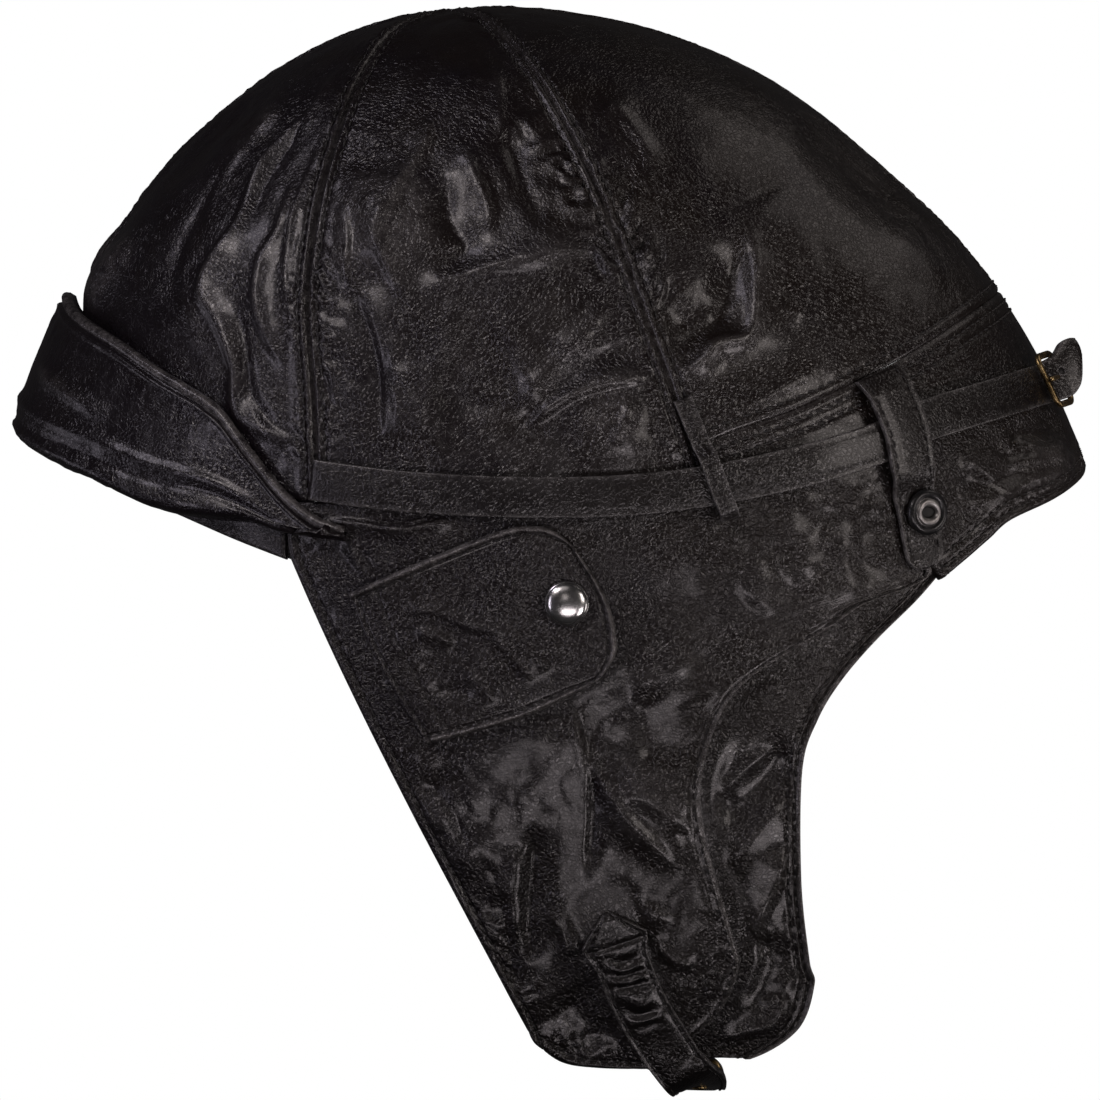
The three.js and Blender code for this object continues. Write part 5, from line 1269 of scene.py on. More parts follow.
def brim_section(share):
    """Turn, foot, top, stand-off and stand-off of the top at a share of the brim's half."""
    turns = BRIM_SECTIONS[:, 0]
    place = np.clip(share, 0, 1) * turns[-1]
    index = max(1, int(np.argmax(turns >= place - 1e-9)))
    rows = BRIM_SECTIONS[np.clip([index - 2, index - 1, index, index + 1], 0, len(turns) - 1)]
    span = rows[2, 0] - rows[1, 0]
    step = (place - rows[1, 0]) / span

    def value(read):
        before, start, end, after = (read(row) for row in rows)
        slope_start = 0 if index == 1 else (end - before) * span / (rows[2, 0] - rows[0, 0])
        slope_end = (after - start) * span / (rows[3, 0] - rows[1, 0])
        return hermite(step, start, end, slope_start, slope_end)

    share_out = value(lambda row: row[3])
    stand = mix(BRIM_REST_STANDOFF, BRIM_STANDOFF, share_out)
    top_stand = LAY_GAP + BRIM_LEATHER + BRIM_TOP_STANDOFF * max(share_out, 0) ** 2
    foot, top = value(lambda row: height_at(row[1])), value(lambda row: height_at(row[2]))
    return place * np.pi, foot, top, stand, top_stand


def brim_column(across, down_shares):
    """One section: signed turn, spots and tangents as stand-off and height, thickness and length."""
    turn, foot, top, stand, top_stand = brim_section(abs(across))
    tall = max(top - foot, BRIM_END_HEIGHT)
    path = Curve([
        (LAY_GAP, foot - stand * BRIM_UNDERCUT),
        (mix(LAY_GAP, stand, 0.82), foot - stand * BRIM_UNDERCUT * 0.25),
        (stand, foot + BRIM_LEATHER * 0.35),
        (mix(stand, top_stand, 0.1), foot + tall * 0.1),
        (mix(stand, top_stand, 0.45), foot + tall * 0.45),
        (top_stand, foot + tall)], centripetal=True)
    signed, thin = (-turn if across < 0 else turn), min(BRIM_LEATHER, tall * 0.9)
    return signed, path.along(down_shares), path.tangent(down_shares), thin, path.length


def front_brim():
    down_shares = packed(BRIM_ROWS, 0.9)[::-1]
    halves = np.linspace(-1, 1, BRIM_COLUMNS + 1)
    turns, spots, tangents, thin, lengths = zip(*[brim_column(across, down_shares) for across in halves])
    turns, thin, lengths = np.array(turns), np.array(thin), np.array(lengths)
    spots, tangents = np.stack(spots, 1), np.stack(tangents, 1)

    def surface(height):
        out = np.maximum(spots[..., 0] + tangents[..., 1] * height, LAY_GAP)
        return on_form(np.broadcast_to(turns, out.shape), spots[..., 1] - tangents[..., 0] * height, out)

    down = down_shares[:, None]
    from_top, from_foot = (1 - down) * lengths[None], down * lengths[None]
    place = on_form(np.broadcast_to(turns, from_top.shape), spots[..., 1], spots[..., 0])
    along = np.concatenate([[0], np.cumsum(np.linalg.norm(np.diff(place[0], axis=0), axis=1))])[None]
    half = np.abs(halves)[None]
    face = smooth(from_top / 5) * smooth(from_foot / 6)
    middle_ridge = 1.1 * bell((down - 0.66 + 0.16 * half) * lengths[None], 0, 1.8)
    middle_ridge = middle_ridge * smooth((half - 0.1) / 0.12) * smooth((0.5 - half) / 0.14)
    low_ridge = 0.7 * bell((down - 0.43) * lengths[None], 0, 1.3) * smooth((0.9 - half) / 0.2)
    body = (skin(place, 0.75, 63) + middle_ridge - 0.5 * bell(from_foot, 0.33 * lengths, 1.0)) * face
    body = body + low_ridge * face
    lift = body + (-0.55 * bell(from_top, 2.3, 0.5) + 0.4 * bell(from_top, 3.3, 0.6)
                   + rolled(from_top, 0.9) + puckers(place, along, from_top, 120, 0.1, 9.0, 3.0, 6.5))
    lift = lift + rolled(from_foot, 0.7)
    shape = Shape()
    # The middle ridge and the top edge are paled, both rubbing and painted highlights
    worn_and_lit = worn_and_lit_places(middle_ridge * 1.3, from_top)
    wall(shape, surface(lift), surface(-thin[None] + body * 0.3), worn_and_lit)
    row = np.argmin(np.abs(from_top - PIPE_DEPTH), 0)
    pipe = surface(-thin[None] * 0.45)[row, np.arange(BRIM_COLUMNS + 1)]
    normals = normal_at(pipe)
    tube(shape, pipe + normals * PIPE_LIFT, PIPE_RADIUS, 14, normals, PIPE_WEAR_AND_SHEEN)
    shape.build("front_brim_leather", [BRIM_SKIN], "brim_leather", ["front_brim"])


front_brim()


# Straps: rounded bands laid on the form
def band_ring(count, groove, depth, crown):
    """Across a band: shares of the width and of the thickness, over the top and back along the underside."""
    top = 0.5 - 0.5 * np.cos(np.linspace(0.06, 0.94, count) * np.pi)
    height = 1 + crown * np.sin(np.pi * top) - depth * (bell(top, groove, 0.05) + bell(top, 1 - groove, 0.05))
    across = np.concatenate([[0, 0.004], top, [0.996, 1]])
    upper = np.stack([across, np.concatenate([[0.5, 0.8], height, [0.8, 0.5]])], -1)
    return np.concatenate([upper, [(0.99, 0.1), (0.93, 0), (0.5, 0), (0.07, 0), (0.01, 0.1)]])


def edge_wear(ring, width):
    """Rubbed, paler borders along the upper side of a band, which also paint their highlights."""
    return np.exp(-np.minimum(ring[:, 0], 1 - ring[:, 0]) * width / BAND_WEAR_AND_SHEEN_REACH) * (ring[:, 1] > 0.4)


def ribbon_rings(path, shares, width, low, thickness, ring, relief=0.0):
    """Rings of a band: path gives points on the form, low is its height over it."""
    spot = path(shares)
    ahead, behind = path(np.minimum(shares + 0.002, 1)), path(np.maximum(shares - 0.002, 0))
    across = unit(np.cross(ahead - behind, normal_at(spot)))
    moved = spot[:, None] + across[:, None] * ((ring[:, 0] - 0.5)[None] * width[:, None])[..., None]
    rise = low[:, None] + thickness[:, None] * ring[None, :, 1]
    return snap_to_form(moved, rise + relief * (ring[None, :, 1] > 0.7))


def end_shares(count, length, soft):
    """Shares along a band, with a few close rows at each end for its rounded edge."""
    close = np.array([0, 0.12, 0.35, 0.65, 1.0]) * soft / length
    return np.concatenate([close, np.linspace(close[-1], 1 - close[-1], count)[1:-1], (1 - close)[::-1]])


def end_thickness(shares, length, thickness, soft):
    left = np.minimum(np.minimum(shares, 1 - shares) * length / soft, 1)
    return thickness * (0.35 + 0.65 * np.sqrt(np.clip(1 - (1 - left) ** 2, 0, 1)))


def upper_order(ring):
    """The points of a ring on its upper side, from one border to the other."""
    upper = np.flatnonzero(ring[:, 1] > 0.7)
    return upper[np.argsort(ring[upper, 0])]


def edge_row(rings, ring, share_across):
    """The points of a finished band at a share of its width, on its upper side."""
    order = upper_order(ring)
    at = np.interp(share_across, ring[order, 0], np.arange(len(order)))
    low = int(np.floor(at))
    high = min(low + 1, len(order) - 1)
    points = mix(rings[:, order[low]], rings[:, order[high]], at - low)
    return points, normal_at(points)


# Rear strap
TURN_PER_LENGTH = 1 / (CROWN_WIDTH / 2 * np.cos(np.pi - BUCKLE_TURN))
STRAP_START = chart_point(STRAP_LINE[0])[0]
STRAP_ENDS = {
    "left": (STRAP_START, BUCKLE_TURN + BUCKLE_WIRE * TURN_PER_LENGTH),
    "right": (BUCKLE_TURN + (BUCKLE_SPAN - BUCKLE_WIRE / 2) * TURN_PER_LENGTH, 2 * np.pi - STRAP_START),
}
STRAP_LENGTH, STRAP_ROWS, STRAP_SOFT_END = 150.0, 230, 0.8
TIP_ROWS, TIP_WIDEST, TIP_NARROWEST, TIP_HOLE_ROW = 34, 1.14, 0.42, 16
HOLE_RADIUS, HOLE_LIP = 1.0, 0.3


def strap_path(start, end):
    def at(share):
        turn = mix(start, end, np.asarray(share, float))
        return on_form(turn, height_on(STRAP_CHART, np.where(turn > np.pi, 2 * np.pi - turn, turn)))
    return at


def tip_hole(shape, centre, normal, material):
    """A punched hole with a rolled lip, laid on a strap: the hole is a dark disc of painted shade inside the
    lip, and the lip is paled both for rubbing and as a painted highlight.
    """
    helper = unit(np.cross(normal, [0.0, 0.0, 1.0]))
    other = np.cross(normal, helper)
    angle = around_circle(24)
    around = centre + (np.cos(angle)[:, None] * helper + np.sin(angle)[:, None] * other) * HOLE_RADIUS
    tube(shape, around, HOLE_LIP, 8, np.broadcast_to(normal, around.shape), 0.6, closed=True)
    disc = around - normal * 0.05
    loft(shape, np.stack([disc - normal * 0.15, disc]), material=material)


def strap_tip(last, along, out):
    """Rings of the strap's free tip, which goes on from the last ring and lifts off behind the buckle."""
    shares = np.concatenate([np.linspace(0, 0.96, TIP_ROWS)[1:], [0.975, 0.99, 1.0]])
    middle = last.mean(0)
    offsets = last - middle
    height_part = (offsets @ out)[:, None] * out
    flat_part = offsets - height_part
    narrow = mix(mix(1, TIP_WIDEST, smooth(shares / 0.8)), TIP_NARROWEST, smooth((shares - 0.68) / 0.32))
    thin_end = np.sqrt(np.clip(1 - np.clip((shares - 0.95) / 0.05, 0, 1) ** 2, 0.1, 1))
    lift = out * (TIP_LIFT * smooth(shares * 1.1))[:, None, None]
    upward = np.array([0.0, 0.0, TIP_RAISE]) * smooth((shares - 0.5) * 2)[:, None, None]
    return (middle + flat_part[None] * narrow[:, None, None] + height_part[None] * thin_end[:, None, None]
            + along * (TIP_LENGTH * shares)[:, None, None] + lift + upward)


def rear_strap(side):
    ring = band_ring(13, 0.1, 0.05, 0.1)
    shares = end_shares(STRAP_ROWS, STRAP_LENGTH, STRAP_SOFT_END)
    path, count = strap_path(*STRAP_ENDS[side]), len(shares)
    relief = 0.12 * noise(path(shares)[:, None] + ring[None, :, :1] * [0, 0, 9.0], 9, 130)
    width, low = np.full(count, float(STRAP_WIDTH)), np.full(count, LAY_GAP)
    thickness = end_thickness(shares, STRAP_LENGTH, STRAP_LEATHER, STRAP_SOFT_END)
    if side == "left":
        thickness[shares > 0.5] = STRAP_LEATHER
    rings = ribbon_rings(path, shares, width, low, thickness, ring, relief)
    shape = Shape()
    if side == "left":
        ends = ribbon_rings(path, np.array([0.98, 1.0]), width[:2], low[:2], thickness[-1:].repeat(2), ring)
        out = normal_at(path(np.array([1.0])))[0]
        rings = np.concatenate([rings, strap_tip(rings[-1], unit(ends[1].mean(0) - ends[0].mean(0)), out)])
    loft(shape, rings, edge_wear(ring, STRAP_WIDTH))
    if side == "left":
        before, here, after = rings[count + TIP_HOLE_ROW - 1:count + TIP_HOLE_ROW + 2]
        normal = unit(np.cross(after.mean(0) - before.mean(0), here[8] - here[4]))
        normal = normal * np.sign(normal @ out)
        tip_hole(shape, here[5:10].mean(0) + normal * 0.12, normal, 1)
    shape.build(f"rear_strap_{side}_leather", [STRAP_SKIN, HOLE_SHADE], "strap_leather", [f"rear_strap_{side}"])


for side in SIDES:
    rear_strap(side)


# Belt loops and snap tabs, which bridge the strap
LOOP_LENGTH, LOOP_SOFT_END, TAB_SOFT_END = 26.0, 0.6, 0.7
TAB_TOP_SHARE, TAB_FOOT_SHARE, TAB_ROUND_SHARE, TAB_ROW = 1.12, 0.9, 0.4, 0.13


def bridge(shares, start, end, slope=0.12):
    rise = smooth((shares - start + slope) / slope) * smooth((end + slope - shares) / slope)
    return mix(LAY_GAP, OVER_STRAP, rise)


def belt_loop(side):
    ring = band_ring(9, 0.2, 0.16, 0.0)
    shares = end_shares(60, LOOP_LENGTH, LOOP_SOFT_END)
    width = np.full(len(shares), float(LOOP_WIDTH))
    rings = ribbon_rings(
        on_chart(chart_curve(LOOP_LINE)), shares, width, bridge(shares, 0.5, 0.92),
        end_thickness(shares, LOOP_LENGTH, TAB_LEATHER, LOOP_SOFT_END), ring)
    shape = Shape()
    loft(shape, rings, edge_wear(ring, LOOP_WIDTH))
    shape.build(f"belt_loop_{side}_leather", [STRAP_SKIN], "strap_leather", [f"belt_loop_{side}"], side)


def snap_tab(side):
    ring = band_ring(15, TAB_ROW, 0.12, 0.05)
    shares = end_shares(110, TAB_LENGTH, TAB_SOFT_END)
    width = mix(TAB_WIDTH * TAB_TOP_SHARE, TAB_WIDTH * TAB_FOOT_SHARE, shares)
    round_share = np.clip((1 - shares) * TAB_LENGTH / (width * TAB_ROUND_SHARE), 0, 1)
    width = width * np.maximum(np.sqrt(1 - (1 - round_share) ** 2), 0.2)
    along = np.stack([shares * TAB_LENGTH, 0 * shares, 0 * shares], -1)[:, None]
    rings = ribbon_rings(
        on_chart(chart_curve(TAB_LINE)), shares, width, bridge(shares, 0.1, 0.5),
        end_thickness(shares, TAB_LENGTH, TAB_LEATHER, TAB_SOFT_END), ring,
        0.1 * noise(along + 0 * ring[None, :, :1], 8, 140))
    shape = Shape()
    loft(shape, rings, edge_wear(ring, TAB_WIDTH))
    for share_across in (TAB_ROW, 1 - TAB_ROW):
        points, ups = edge_row(rings, ring, share_across)
        stitches(shape, points[3:-12], ups[3:-12], seed=62, **TAB_THREAD)
    shape.build(f"snap_tab_{side}_leather", [STRAP_SKIN, THREAD], "strap_leather", [f"snap_tab_{side}"], side)


for side in SIDES:
    belt_loop(side)
    snap_tab(side)


def set_on(row, offset):
    """A place on the form, at a height over it, with the form's normal there."""
    z = height_at(row[1])
    base = on_form(turn_of(length_at(row[0]), z), z)
    normal = normal_at(base)
    return base + normal * offset, normal


def ear_cover(side):
    panel = coons_panel(*COVER_EDGES, 100, 92, tight=(1.3, 1.3))
    place = true_place(panel.base, side)
    sewn = np.minimum(np.minimum(panel.top, panel.second), panel.foot)
    folds = fold_height("cover", panel.base, side)
    quiet = smooth(np.minimum(sewn, panel.first) / 3.5)
    from_snap = np.linalg.norm(panel.base - set_on(SNAP_SPOT, 0)[0], axis=-1)
    body = (folds + skin(place, 0.3, 73)) * quiet * smooth((from_snap - 4.5) / 3)
    bead = COVER_BEAD * bell(sewn, 0.9, 0.6) - 0.32 * bell(sewn, COVER_BEAD_ROW, 0.4) + rolled(sewn, 0.7)
    stitch_line = -0.3 * bell(panel.first, COVER_INNER_ROW, 0.45) - 0.25 * bell(panel.first, COVER_ROW, 0.4)
    height = body + bead + stitch_line + rolled(panel.first, 0.6)
    height = height - 0.25 * bell(np.maximum(from_snap - 4.6, 0), 0, 1.6)
    height = height + puckers(place, panel.top, panel.first, 150, 0.12, 3.2, 2.0, 7.4, 0.1)
    worn_and_lit = worn_and_lit_places(folds, sewn, SEWN_CREST_SHEEN)
    shape = leather_wall(panel, height + LAY_GAP + COVER_LEATHER, LAY_GAP, worn_and_lit)
    rows = [("first", COVER_ROW), ("first", COVER_INNER_ROW)]
    rows += [(edge, COVER_BEAD_ROW) for edge in ("top", "foot", "second")]
    stitch_rows(shape, panel, rows, cut=3, seed=70, **COVER_THREAD)
    shape.build(f"ear_cover_{side}_leather", [FLAP_SKIN, THREAD], "flap_leather", [f"ear_cover_{side}"], side)


for side in SIDES:
    ear_cover(side)


# Chin strap: one whole loop
CHIN_FINE_END, CHIN_FINE_ROWS, CHIN_ROWS, CHIN_ROW = 10, 26, 330, 0.1
EYELET_RADIUS, EYELET_HEIGHT = 1.7, -1.016


def chin_route():
    half = [on_form(*chart_point(row), LAY_GAP) for row in CHIN_LINE]
    edge = on_form(*chart_point((mix(CHIN_LINE[-1][0], CHIN_TURN[0], 0.6), -1.006)), LAY_GAP)
    x, low = length_at(CHIN_TURN[0]), height_at(CHIN_TURN[1])
    bottom = low - CHIN_SAG
    half += [edge, np.array([x, edge[1] * 0.86, low]), np.array([x, edge[1] * 0.45, mix(low, bottom, 0.8)])]
    other = [point * [1, -1, 1] for point in reversed(half)]
    return Curve(half + [np.array([x, 0, bottom])] + other, centripetal=True)


CHIN_PATH = chin_route()


def chin_frame(shares):
    """Places on the chin strap's route, with its tangents, normals and sideways directions."""
    spot, tangent = CHIN_PATH.along(shares), CHIN_PATH.tangent(shares)
    under = smooth((height_at(-0.93) - spot[..., 2]) / (FLAP_DROP * 0.09))[..., None]
    from_chin = unit(np.stack([0 * spot[..., 0], spot[..., 1], spot[..., 2] - height_at(-0.8)], -1))
    wanted = mix(normal_at(spot), from_chin, under)
    normal = unit(wanted - np.sum(wanted * tangent, -1, keepdims=True) * tangent)
    return spot, tangent, normal, np.cross(tangent, normal)


def eyelet(shape, centre, normal, along, ring_material, hole_material):
    """A flat rolled ring with a dark disc of painted shade in its middle."""
    side_way = unit(np.cross(normal, along))
    along = np.cross(side_way, normal)
    angle = around_circle(32)
    circle = (np.cos(angle)[:, None] * side_way + np.sin(angle)[:, None] * along) * EYELET_RADIUS
    profile = [(0.55, 0.0), (0.6, 0.35), (0.78, 0.5), (0.95, 0.35), (1.0, 0.02), (0.95, -0.1), (0.6, -0.1)]
    rings = np.stack([centre + circle * wide + normal * tall for wide, tall in profile], 1)
    loft(shape, rings, material=ring_material, closed=True)
    disc = centre + circle * 0.6
    loft(shape, np.stack([disc - normal * 0.1, disc + normal * 0.04]), material=hole_material)


def chin_strap():
    length = CHIN_PATH.length
    fine = np.linspace(0, CHIN_FINE_END, CHIN_FINE_ROWS)
    middle = np.linspace(CHIN_FINE_END, length - CHIN_FINE_END, CHIN_ROWS)[1:-1]
    shares = np.concatenate([fine / length, middle / length, 1 - fine[::-1] / length])
    from_end = np.minimum(shares, 1 - shares) * length
    peak = mix(CHIN_PEAK_WIDTH * 0.12, CHIN_PEAK_WIDTH, from_end / CHIN_PEAK_LENGTH)
    after_peak = smooth((from_end - CHIN_PEAK_LENGTH) / CHIN_PEAK_LENGTH)
    width = np.where(from_end < CHIN_PEAK_LENGTH, peak, mix(CHIN_PEAK_WIDTH, CHIN_STRAP_WIDTH, after_peak))
    hidden = zone(shares, 0.52, 0.7, 0.04)
    width = width * (1 - HIDDEN_NARROWING * hidden)
    ring = band_ring(21, CHIN_ROW, 0.14, 0.04)
    ring_across = ring[None, :, 0]
    spot, _, normal, across = chin_frame(shares)
    moved = spot[:, None] + across[:, None] * ((ring[:, 0] - 0.5)[None] * width[:, None])[..., None]
    thickness = CHIN_STRAP_LEATHER * (0.4 + 0.6 * smooth(from_end / 1.2))
    gathered = (smooth((from_end - 8) / 4) * smooth((30 - from_end) / 8))[:, None]
    slope = (ring_across - 0.5) * 1.1
    gather = np.cos(2 * np.pi * (from_end[:, None] / 5.2 + slope + 0.9 * noise(moved, 8, 160)))
    gather = 0.7 * gather * gathered * bell(ring_across, 0.5, 0.26)
    seam_line = -0.35 * bell(from_end, CHIN_PEAK_LENGTH + 1.2, 0.5)[:, None]
    soft = 0.3 * noise(moved, 11, 161) * smooth(np.minimum(ring_across, 1 - ring_across) / 0.2)
    rise = thickness[:, None] * ring[None, :, 1] + (gather + seam_line + soft) * (ring[None, :, 1] > 0.7)
    laid = snap_to_form(moved, LAY_GAP + rise)
    free = moved + normal[:, None] * (rise - HIDDEN_LIFT * hidden[:, None])[..., None]
    on_flap = smooth((spot[:, 2] - height_at(-1) + 1) / 3)[:, None, None]
    rings = mix(free, laid, on_flap)
    shape = Shape()
    loft(shape, rings, edge_wear(ring, CHIN_STRAP_WIDTH))
    order = upper_order(ring)
    for share_across in (CHIN_ROW, 1 - CHIN_ROW):
        at = int(round(np.interp(share_across, ring[order, 0], np.arange(len(order)))))
        stitches(shape, rings[4:-4, order[at]], normal[4:-4], seed=80, **CHIN_THREAD)
    steps = CHIN_PATH.along(np.linspace(0, 0.5, 400))
    eyelet_share = 0.5 * np.argmax(steps[:, 2] < height_at(EYELET_HEIGHT)) / 399
    spot, tangent, normal, _ = (value[0] for value in chin_frame(np.array([eyelet_share])))
    eyelet(shape, spot + normal * (CHIN_STRAP_LEATHER + LAY_GAP * 0.2), normal, tangent, 2, 3)
    shape.build("chin_strap_leather", [STRAP_SKIN, THREAD, BRASS, HOLE_SHADE], "strap_leather", ["chin_strap"])


chin_strap()


# Snaps and studs, as rows of radius, height and material number; the stud's material number 2 is painted
# shade in its hole
DOME_FOOT, DOME_SHARE = 0.95, 0.93
DOME = [
    (SNAP_RADIUS * DOME_SHARE * np.cos(angle), DOME_FOOT + (SNAP_HEIGHT - DOME_FOOT) * np.sin(angle), 0)
    for angle in np.radians([0, 8, 18, 28, 38, 48, 58, 68, 78, 86])]
SNAP_PROFILE = [
    (4.4, 0.0, 0), (4.75, 0.08, 0), (4.9, 0.32, 0), (4.88, 0.6, 0), (4.72, 0.82, 0), (4.6, 0.86, 0)] + DOME
STUD_PROFILE = [
    (4.6, 0.0, 0), (4.95, 0.12, 0), (5.1, 0.5, 0), (5.02, 1.0, 0), (4.75, 1.45, 0), (4.3, 1.7, 0),
    (3.85, 1.72, 0), (3.45, 1.55, 0), (3.2, 1.3, 0), (3.12, 1.15, 1), (3.05, 1.45, 1), (2.85, 1.72, 1),
    (2.5, 1.85, 1), (2.1, 1.82, 1), (1.75, 1.68, 1), (1.5, 1.4, 1), (1.38, 1.0, 2), (1.3, 0.6, 2),
    (1.0, 0.55, 2)]
STUD_OVAL = 0.3


def turned(shape, profile, base, axis, segments, oval=0.0):
    """A lathe form about an axis, whose inner rings may be oval."""
    axis = unit(axis)
    first = unit(np.cross(axis, [0.0, 0.0, 1.0]))
    second = np.cross(axis, first)
    angle = around_circle(segments)
    rings = []
    for radius, height, _ in profile:
        stretch = oval * smooth((2.2 - radius) / 0.8)
        wide = np.cos(angle)[:, None] * first * (1 + stretch)
        narrow = np.sin(angle)[:, None] * second * (1 - 0.35 * stretch)
        rings.append(base + axis * height + (wide + narrow) * radius)
    ends = [base + axis * profile[0][1], base + axis * profile[-1][1]]
    numbers = [row[2] for row in profile]
    polygons = [ring_quads(len(rings), segments), end_fans(len(rings), segments)]
    materials = [np.repeat(numbers[:-1], segments), np.repeat([numbers[0], numbers[-1]], segments)]
    shape.add(np.concatenate([np.concatenate(rings), ends]), polygons, materials)


def press_parts(side):
    shape = Shape()
    turned(shape, SNAP_PROFILE, *set_on(SNAP_SPOT, LAY_GAP * 2 + COVER_LEATHER), 80)
    shape.build(f"ear_snap_{side}_dome", [NICKEL], "nickel", [f"ear_snap_{side}"], side)
    shape = Shape()
    turned(shape, STUD_PROFILE, *set_on(STUD_SPOT, LAY_GAP * 2 + TAB_LEATHER), 72, STUD_OVAL)
    shape.build(f"tab_stud_{side}_socket", [ENAMEL, SOCKET, HOLE_SHADE], "stud_metal", [f"tab_stud_{side}"], side)


for side in SIDES:
    press_parts(side)


# Buckles
FRAME_SHARE, FRAME_FLAT, SLIDE_FLAT = 0.52, 0.86, 1.5
FRAME_CORNER, SLIDE_CORNER = 2.2, 1.5
CHIN_BUCKLE_PLACE = 0.6


def frame_path(width, height, corner, count=14, spots=120):
    """A rounded rectangle in its own plane."""
    points = []
    x, y = width / 2 - corner, height / 2 - corner
    for centre_x, centre_y, start in ((x, y, 0), (-x, y, 90), (-x, -y, 180), (x, -y, 270)):
        for angle in np.radians(start + np.linspace(0, 90, count)):
            points.append((centre_x + corner * np.cos(angle), centre_y + corner * np.sin(angle)))
    closed = np.array(points + points[:1])
    steps = np.concatenate([[0], np.cumsum(np.linalg.norm(np.diff(closed, axis=0), axis=1))])
    at = np.linspace(0, steps[-1], spots + 1)[:-1]
    return np.stack([np.interp(at, steps, closed[:, axis]) for axis in range(2)], -1)


def strap_spot(turn):
    return on_form(turn, height_on(STRAP_CHART, turn))


def rear_buckle():
    middle = BUCKLE_TURN + (BUCKLE_SPAN + BUCKLE_WIRE) / 2 * TURN_PER_LENGTH
    base = strap_spot(middle)
    out = normal_at(base)
    across = unit(np.cross(out, strap_spot(middle + 0.02) - base))
    along = np.cross(across, out)
    flat = frame_path(BUCKLE_SPAN + BUCKLE_WIRE, STRAP_WIDTH + LAY_GAP * 3 + BUCKLE_WIRE, FRAME_CORNER)
    around = base + out * (OVER_STRAP + BUCKLE_WIRE / 2) + flat[:, :1] * along + flat[:, 1:] * across
    shape = Shape()
    ups = np.broadcast_to(out, around.shape)
    tube(shape, around, BUCKLE_WIRE * FRAME_SHARE, 16, ups, closed=True, flat=FRAME_FLAT)
    shape.build("buckle_frame_wire", [BRASS], "old_brass", ["buckle_frame"])
    height = OVER_STRAP + BUCKLE_WIRE + LAY_GAP + PRONG_WIRE / 2
    reach = np.linspace(-0.5, 0.5, 26)
    length = BUCKLE_SPAN * 0.5 + PRONG_WIRE
    prong = (base + out * height - along * BUCKLE_SPAN * FRAME_SHARE + (reach * length)[:, None] * along
             + (0.12 * np.cos(reach * 2.6))[:, None] * out)
    shape = Shape()
    radius = mix(PRONG_WIRE * 0.56, PRONG_WIRE * 0.44, reach + 0.5)
    tube(shape, prong, radius, 14, np.broadcast_to(out, prong.shape))
    shape.build("buckle_prong_wire", [BRASS], "old_brass", ["buckle_prong"])


def chin_buckle():
    spot, tangent, normal, across = (value[0] for value in chin_frame(np.array([CHIN_BUCKLE_PLACE])))
    around_strap = LAY_GAP * 2 + CHIN_BUCKLE_WIRE
    flat = frame_path(
        CHIN_STRAP_WIDTH * CHIN_BUCKLE_SHARE + around_strap, CHIN_STRAP_LEATHER + around_strap, SLIDE_CORNER)
    centre = spot + normal * (CHIN_STRAP_LEATHER / 2 - HIDDEN_LIFT)
    around = centre + flat[:, :1] * across + flat[:, 1:] * normal
    shape = Shape()
    ups = np.broadcast_to(tangent, around.shape)
    tube(shape, around, CHIN_BUCKLE_WIRE * 0.5, 16, ups, closed=True, flat=SLIDE_FLAT)
    shape.build("chin_buckle_slide", [BRASS], "old_brass", ["chin_buckle"])


rear_buckle()
chin_buckle()


# Stage: pale floor, soft lights and the camera at the photograph's angle
FLOOR_DROP, FLOOR_RADIUS, FLOOR_SIDES = 0.25, 0.5, 128
FLOOR_GLOW, ROOM_GLOW, ROOM_TINT = 0.75, 0.018, colour(1.0, 0.95, 0.97)


def floor_material():
    nodes = Nodes("pale_floor")
    shade = colour(0.9, 0.9, 0.9)
    nodes.put("Base Color", nodes.blend(nodes.noise(3.0), shade, scaled(shade, 0.985)))
    nodes.put("Roughness", 0.9)
    nodes.put("Emission Color", colour(1, 1, 1))
    nodes.put("Emission Strength", FLOOR_GLOW)
    return nodes.material


def pale_floor():
    rim = [
        (FLOOR_RADIUS * np.cos(a), FLOOR_RADIUS * np.sin(a), -FLOOR_DROP) for a in around_circle(FLOOR_SIDES)]
    mesh = bpy.data.meshes.new("floor")
    mesh.from_pydata(rim, [], [list(range(FLOOR_SIDES))])
    mesh.materials.append(floor_material())
    floor = bpy.data.objects.new("floor", mesh)
    bpy.context.scene.collection.objects.link(floor)
    floor.visible_glossy = False
    floor.visible_diffuse = False


def studio_world():
    """White paper behind the part, and a faint room light on it."""
    world = bpy.data.worlds.new("studio")
    bpy.context.scene.world = world
    world.use_nodes = True
    tree = world.node_tree
    tree.nodes.clear()
    kinds = ("ShaderNodeOutputWorld", "ShaderNodeLightPath", "ShaderNodeMixShader")
    output, light_path, blend_shaders = [tree.nodes.new(kind) for kind in kinds]
    tree.links.new(light_path.outputs["Is Camera Ray"], blend_shaders.inputs[0])
    for slot, shade, strength in ((1, ROOM_TINT, ROOM_GLOW), (2, colour(1, 1, 1), 1.0)):
        background = tree.nodes.new("ShaderNodeBackground")
        background.inputs["Color"].default_value = shade
        background.inputs["Strength"].default_value = strength
        tree.links.new(background.outputs[0], blend_shaders.inputs[slot])
    tree.links.new(blend_shaders.outputs[0], output.inputs["Surface"])


def softbox(name, place, target, size, radiance, tint):
    data = bpy.data.lights.new(name, "AREA")
    data.shape, data.size, data.size_y = "RECTANGLE", size[0], size[1]
    data.energy, data.color = radiance * np.pi * size[0] * size[1], tint
    lamp = bpy.data.objects.new(name, data)
    lamp.location = place
    lamp.rotation_euler = (Vector(target) - Vector(place)).to_track_quat("-Z", "Y").to_euler()
    lamp.visible_camera = False
    bpy.context.scene.collection.objects.link(lamp)


pale_floor()
studio_world()
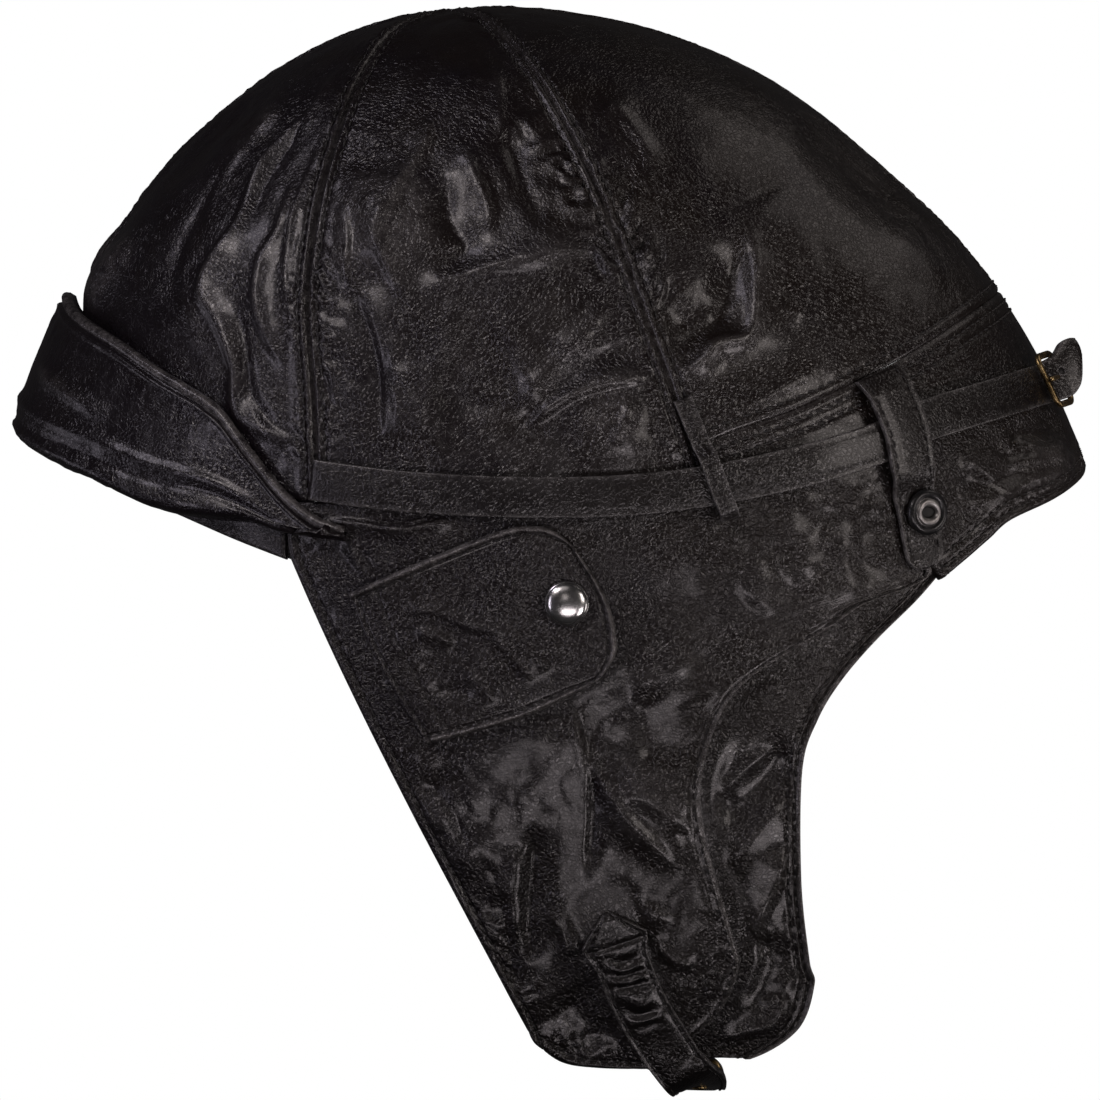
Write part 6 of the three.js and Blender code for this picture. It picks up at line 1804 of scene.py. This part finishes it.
# Each row: name, place, target, size, radiance and tint
for row in (
        ("key", (-0.85, -1.15, 0.95), (0, 0, 0), (0.4, 0.4), 8.5, (1.0, 0.9, 0.9)),
        ("broad", (-0.5, -1.2, 1.1), (0, 0, 0), (1.2, 0.8), 0.35, (1.0, 0.9, 0.9)),
        ("high left", (-1.2, -0.5, 1.2), (0, 0, 0), (0.45, 0.45), 4.5, (0.95, 0.87, 1.0)),
        ("high right", (0.95, 0.3, 1.15), (0, 0, 0), (0.8, 0.7), 0.8, (1.0, 0.9, 0.86)),
        ("front", (-0.15, -1.7, 0.2), (0, 0, 0), (0.3, 0.3), 0.8, (1.0, 0.9, 0.89)),
        ("front low", (0.1, -1.5, -0.75), (0, 0, -0.05), (0.8, 0.3), 5.5, (1.0, 0.9, 0.93)),
        ("low right", (0.95, -1.0, -0.75), (0, 0, -0.05), (0.4, 0.4), 11.0, (1.0, 0.9, 0.92)),
        ("left strip", (-1.25, -0.8, -0.1), (0, 0, -0.02), (0.2, 0.8), 4.2, (0.93, 0.85, 1.0)),
        ("far left", (-1.35, 0.45, -0.2), (0, 0, 0), (0.5, 0.45), 1.1, (0.93, 0.86, 1.0)),
        ("far right", (1.35, 0.1, -0.35), (0, 0, -0.02), (0.4, 0.5), 3.0, (1.0, 0.9, 0.9)),
        ("right", (1.2, -1.0, 0.3), (0, 0, 0), (0.4, 0.6), 5.0, (1.0, 0.9, 0.86))):
    softbox(*row)

VIEW_WIDTH, LENS = 0.2444, 1000.0
CAMERA_X, CAMERA_Z = -0.0053, -0.0155
CLIP_START, CLIP_END = 0.1, 40
camera_data = bpy.data.cameras.new("camera")
camera_data.lens = LENS
camera_data.clip_start, camera_data.clip_end = CLIP_START, CLIP_END
camera = bpy.data.objects.new("camera", camera_data)
camera.location = (CAMERA_X, -LENS * VIEW_WIDTH / camera_data.sensor_width, CAMERA_Z)
camera.rotation_euler = (np.pi / 2, 0, 0)
bpy.context.scene.collection.objects.link(camera)
bpy.context.scene.camera = camera
bpy.context.scene.view_settings.view_transform = "Standard"
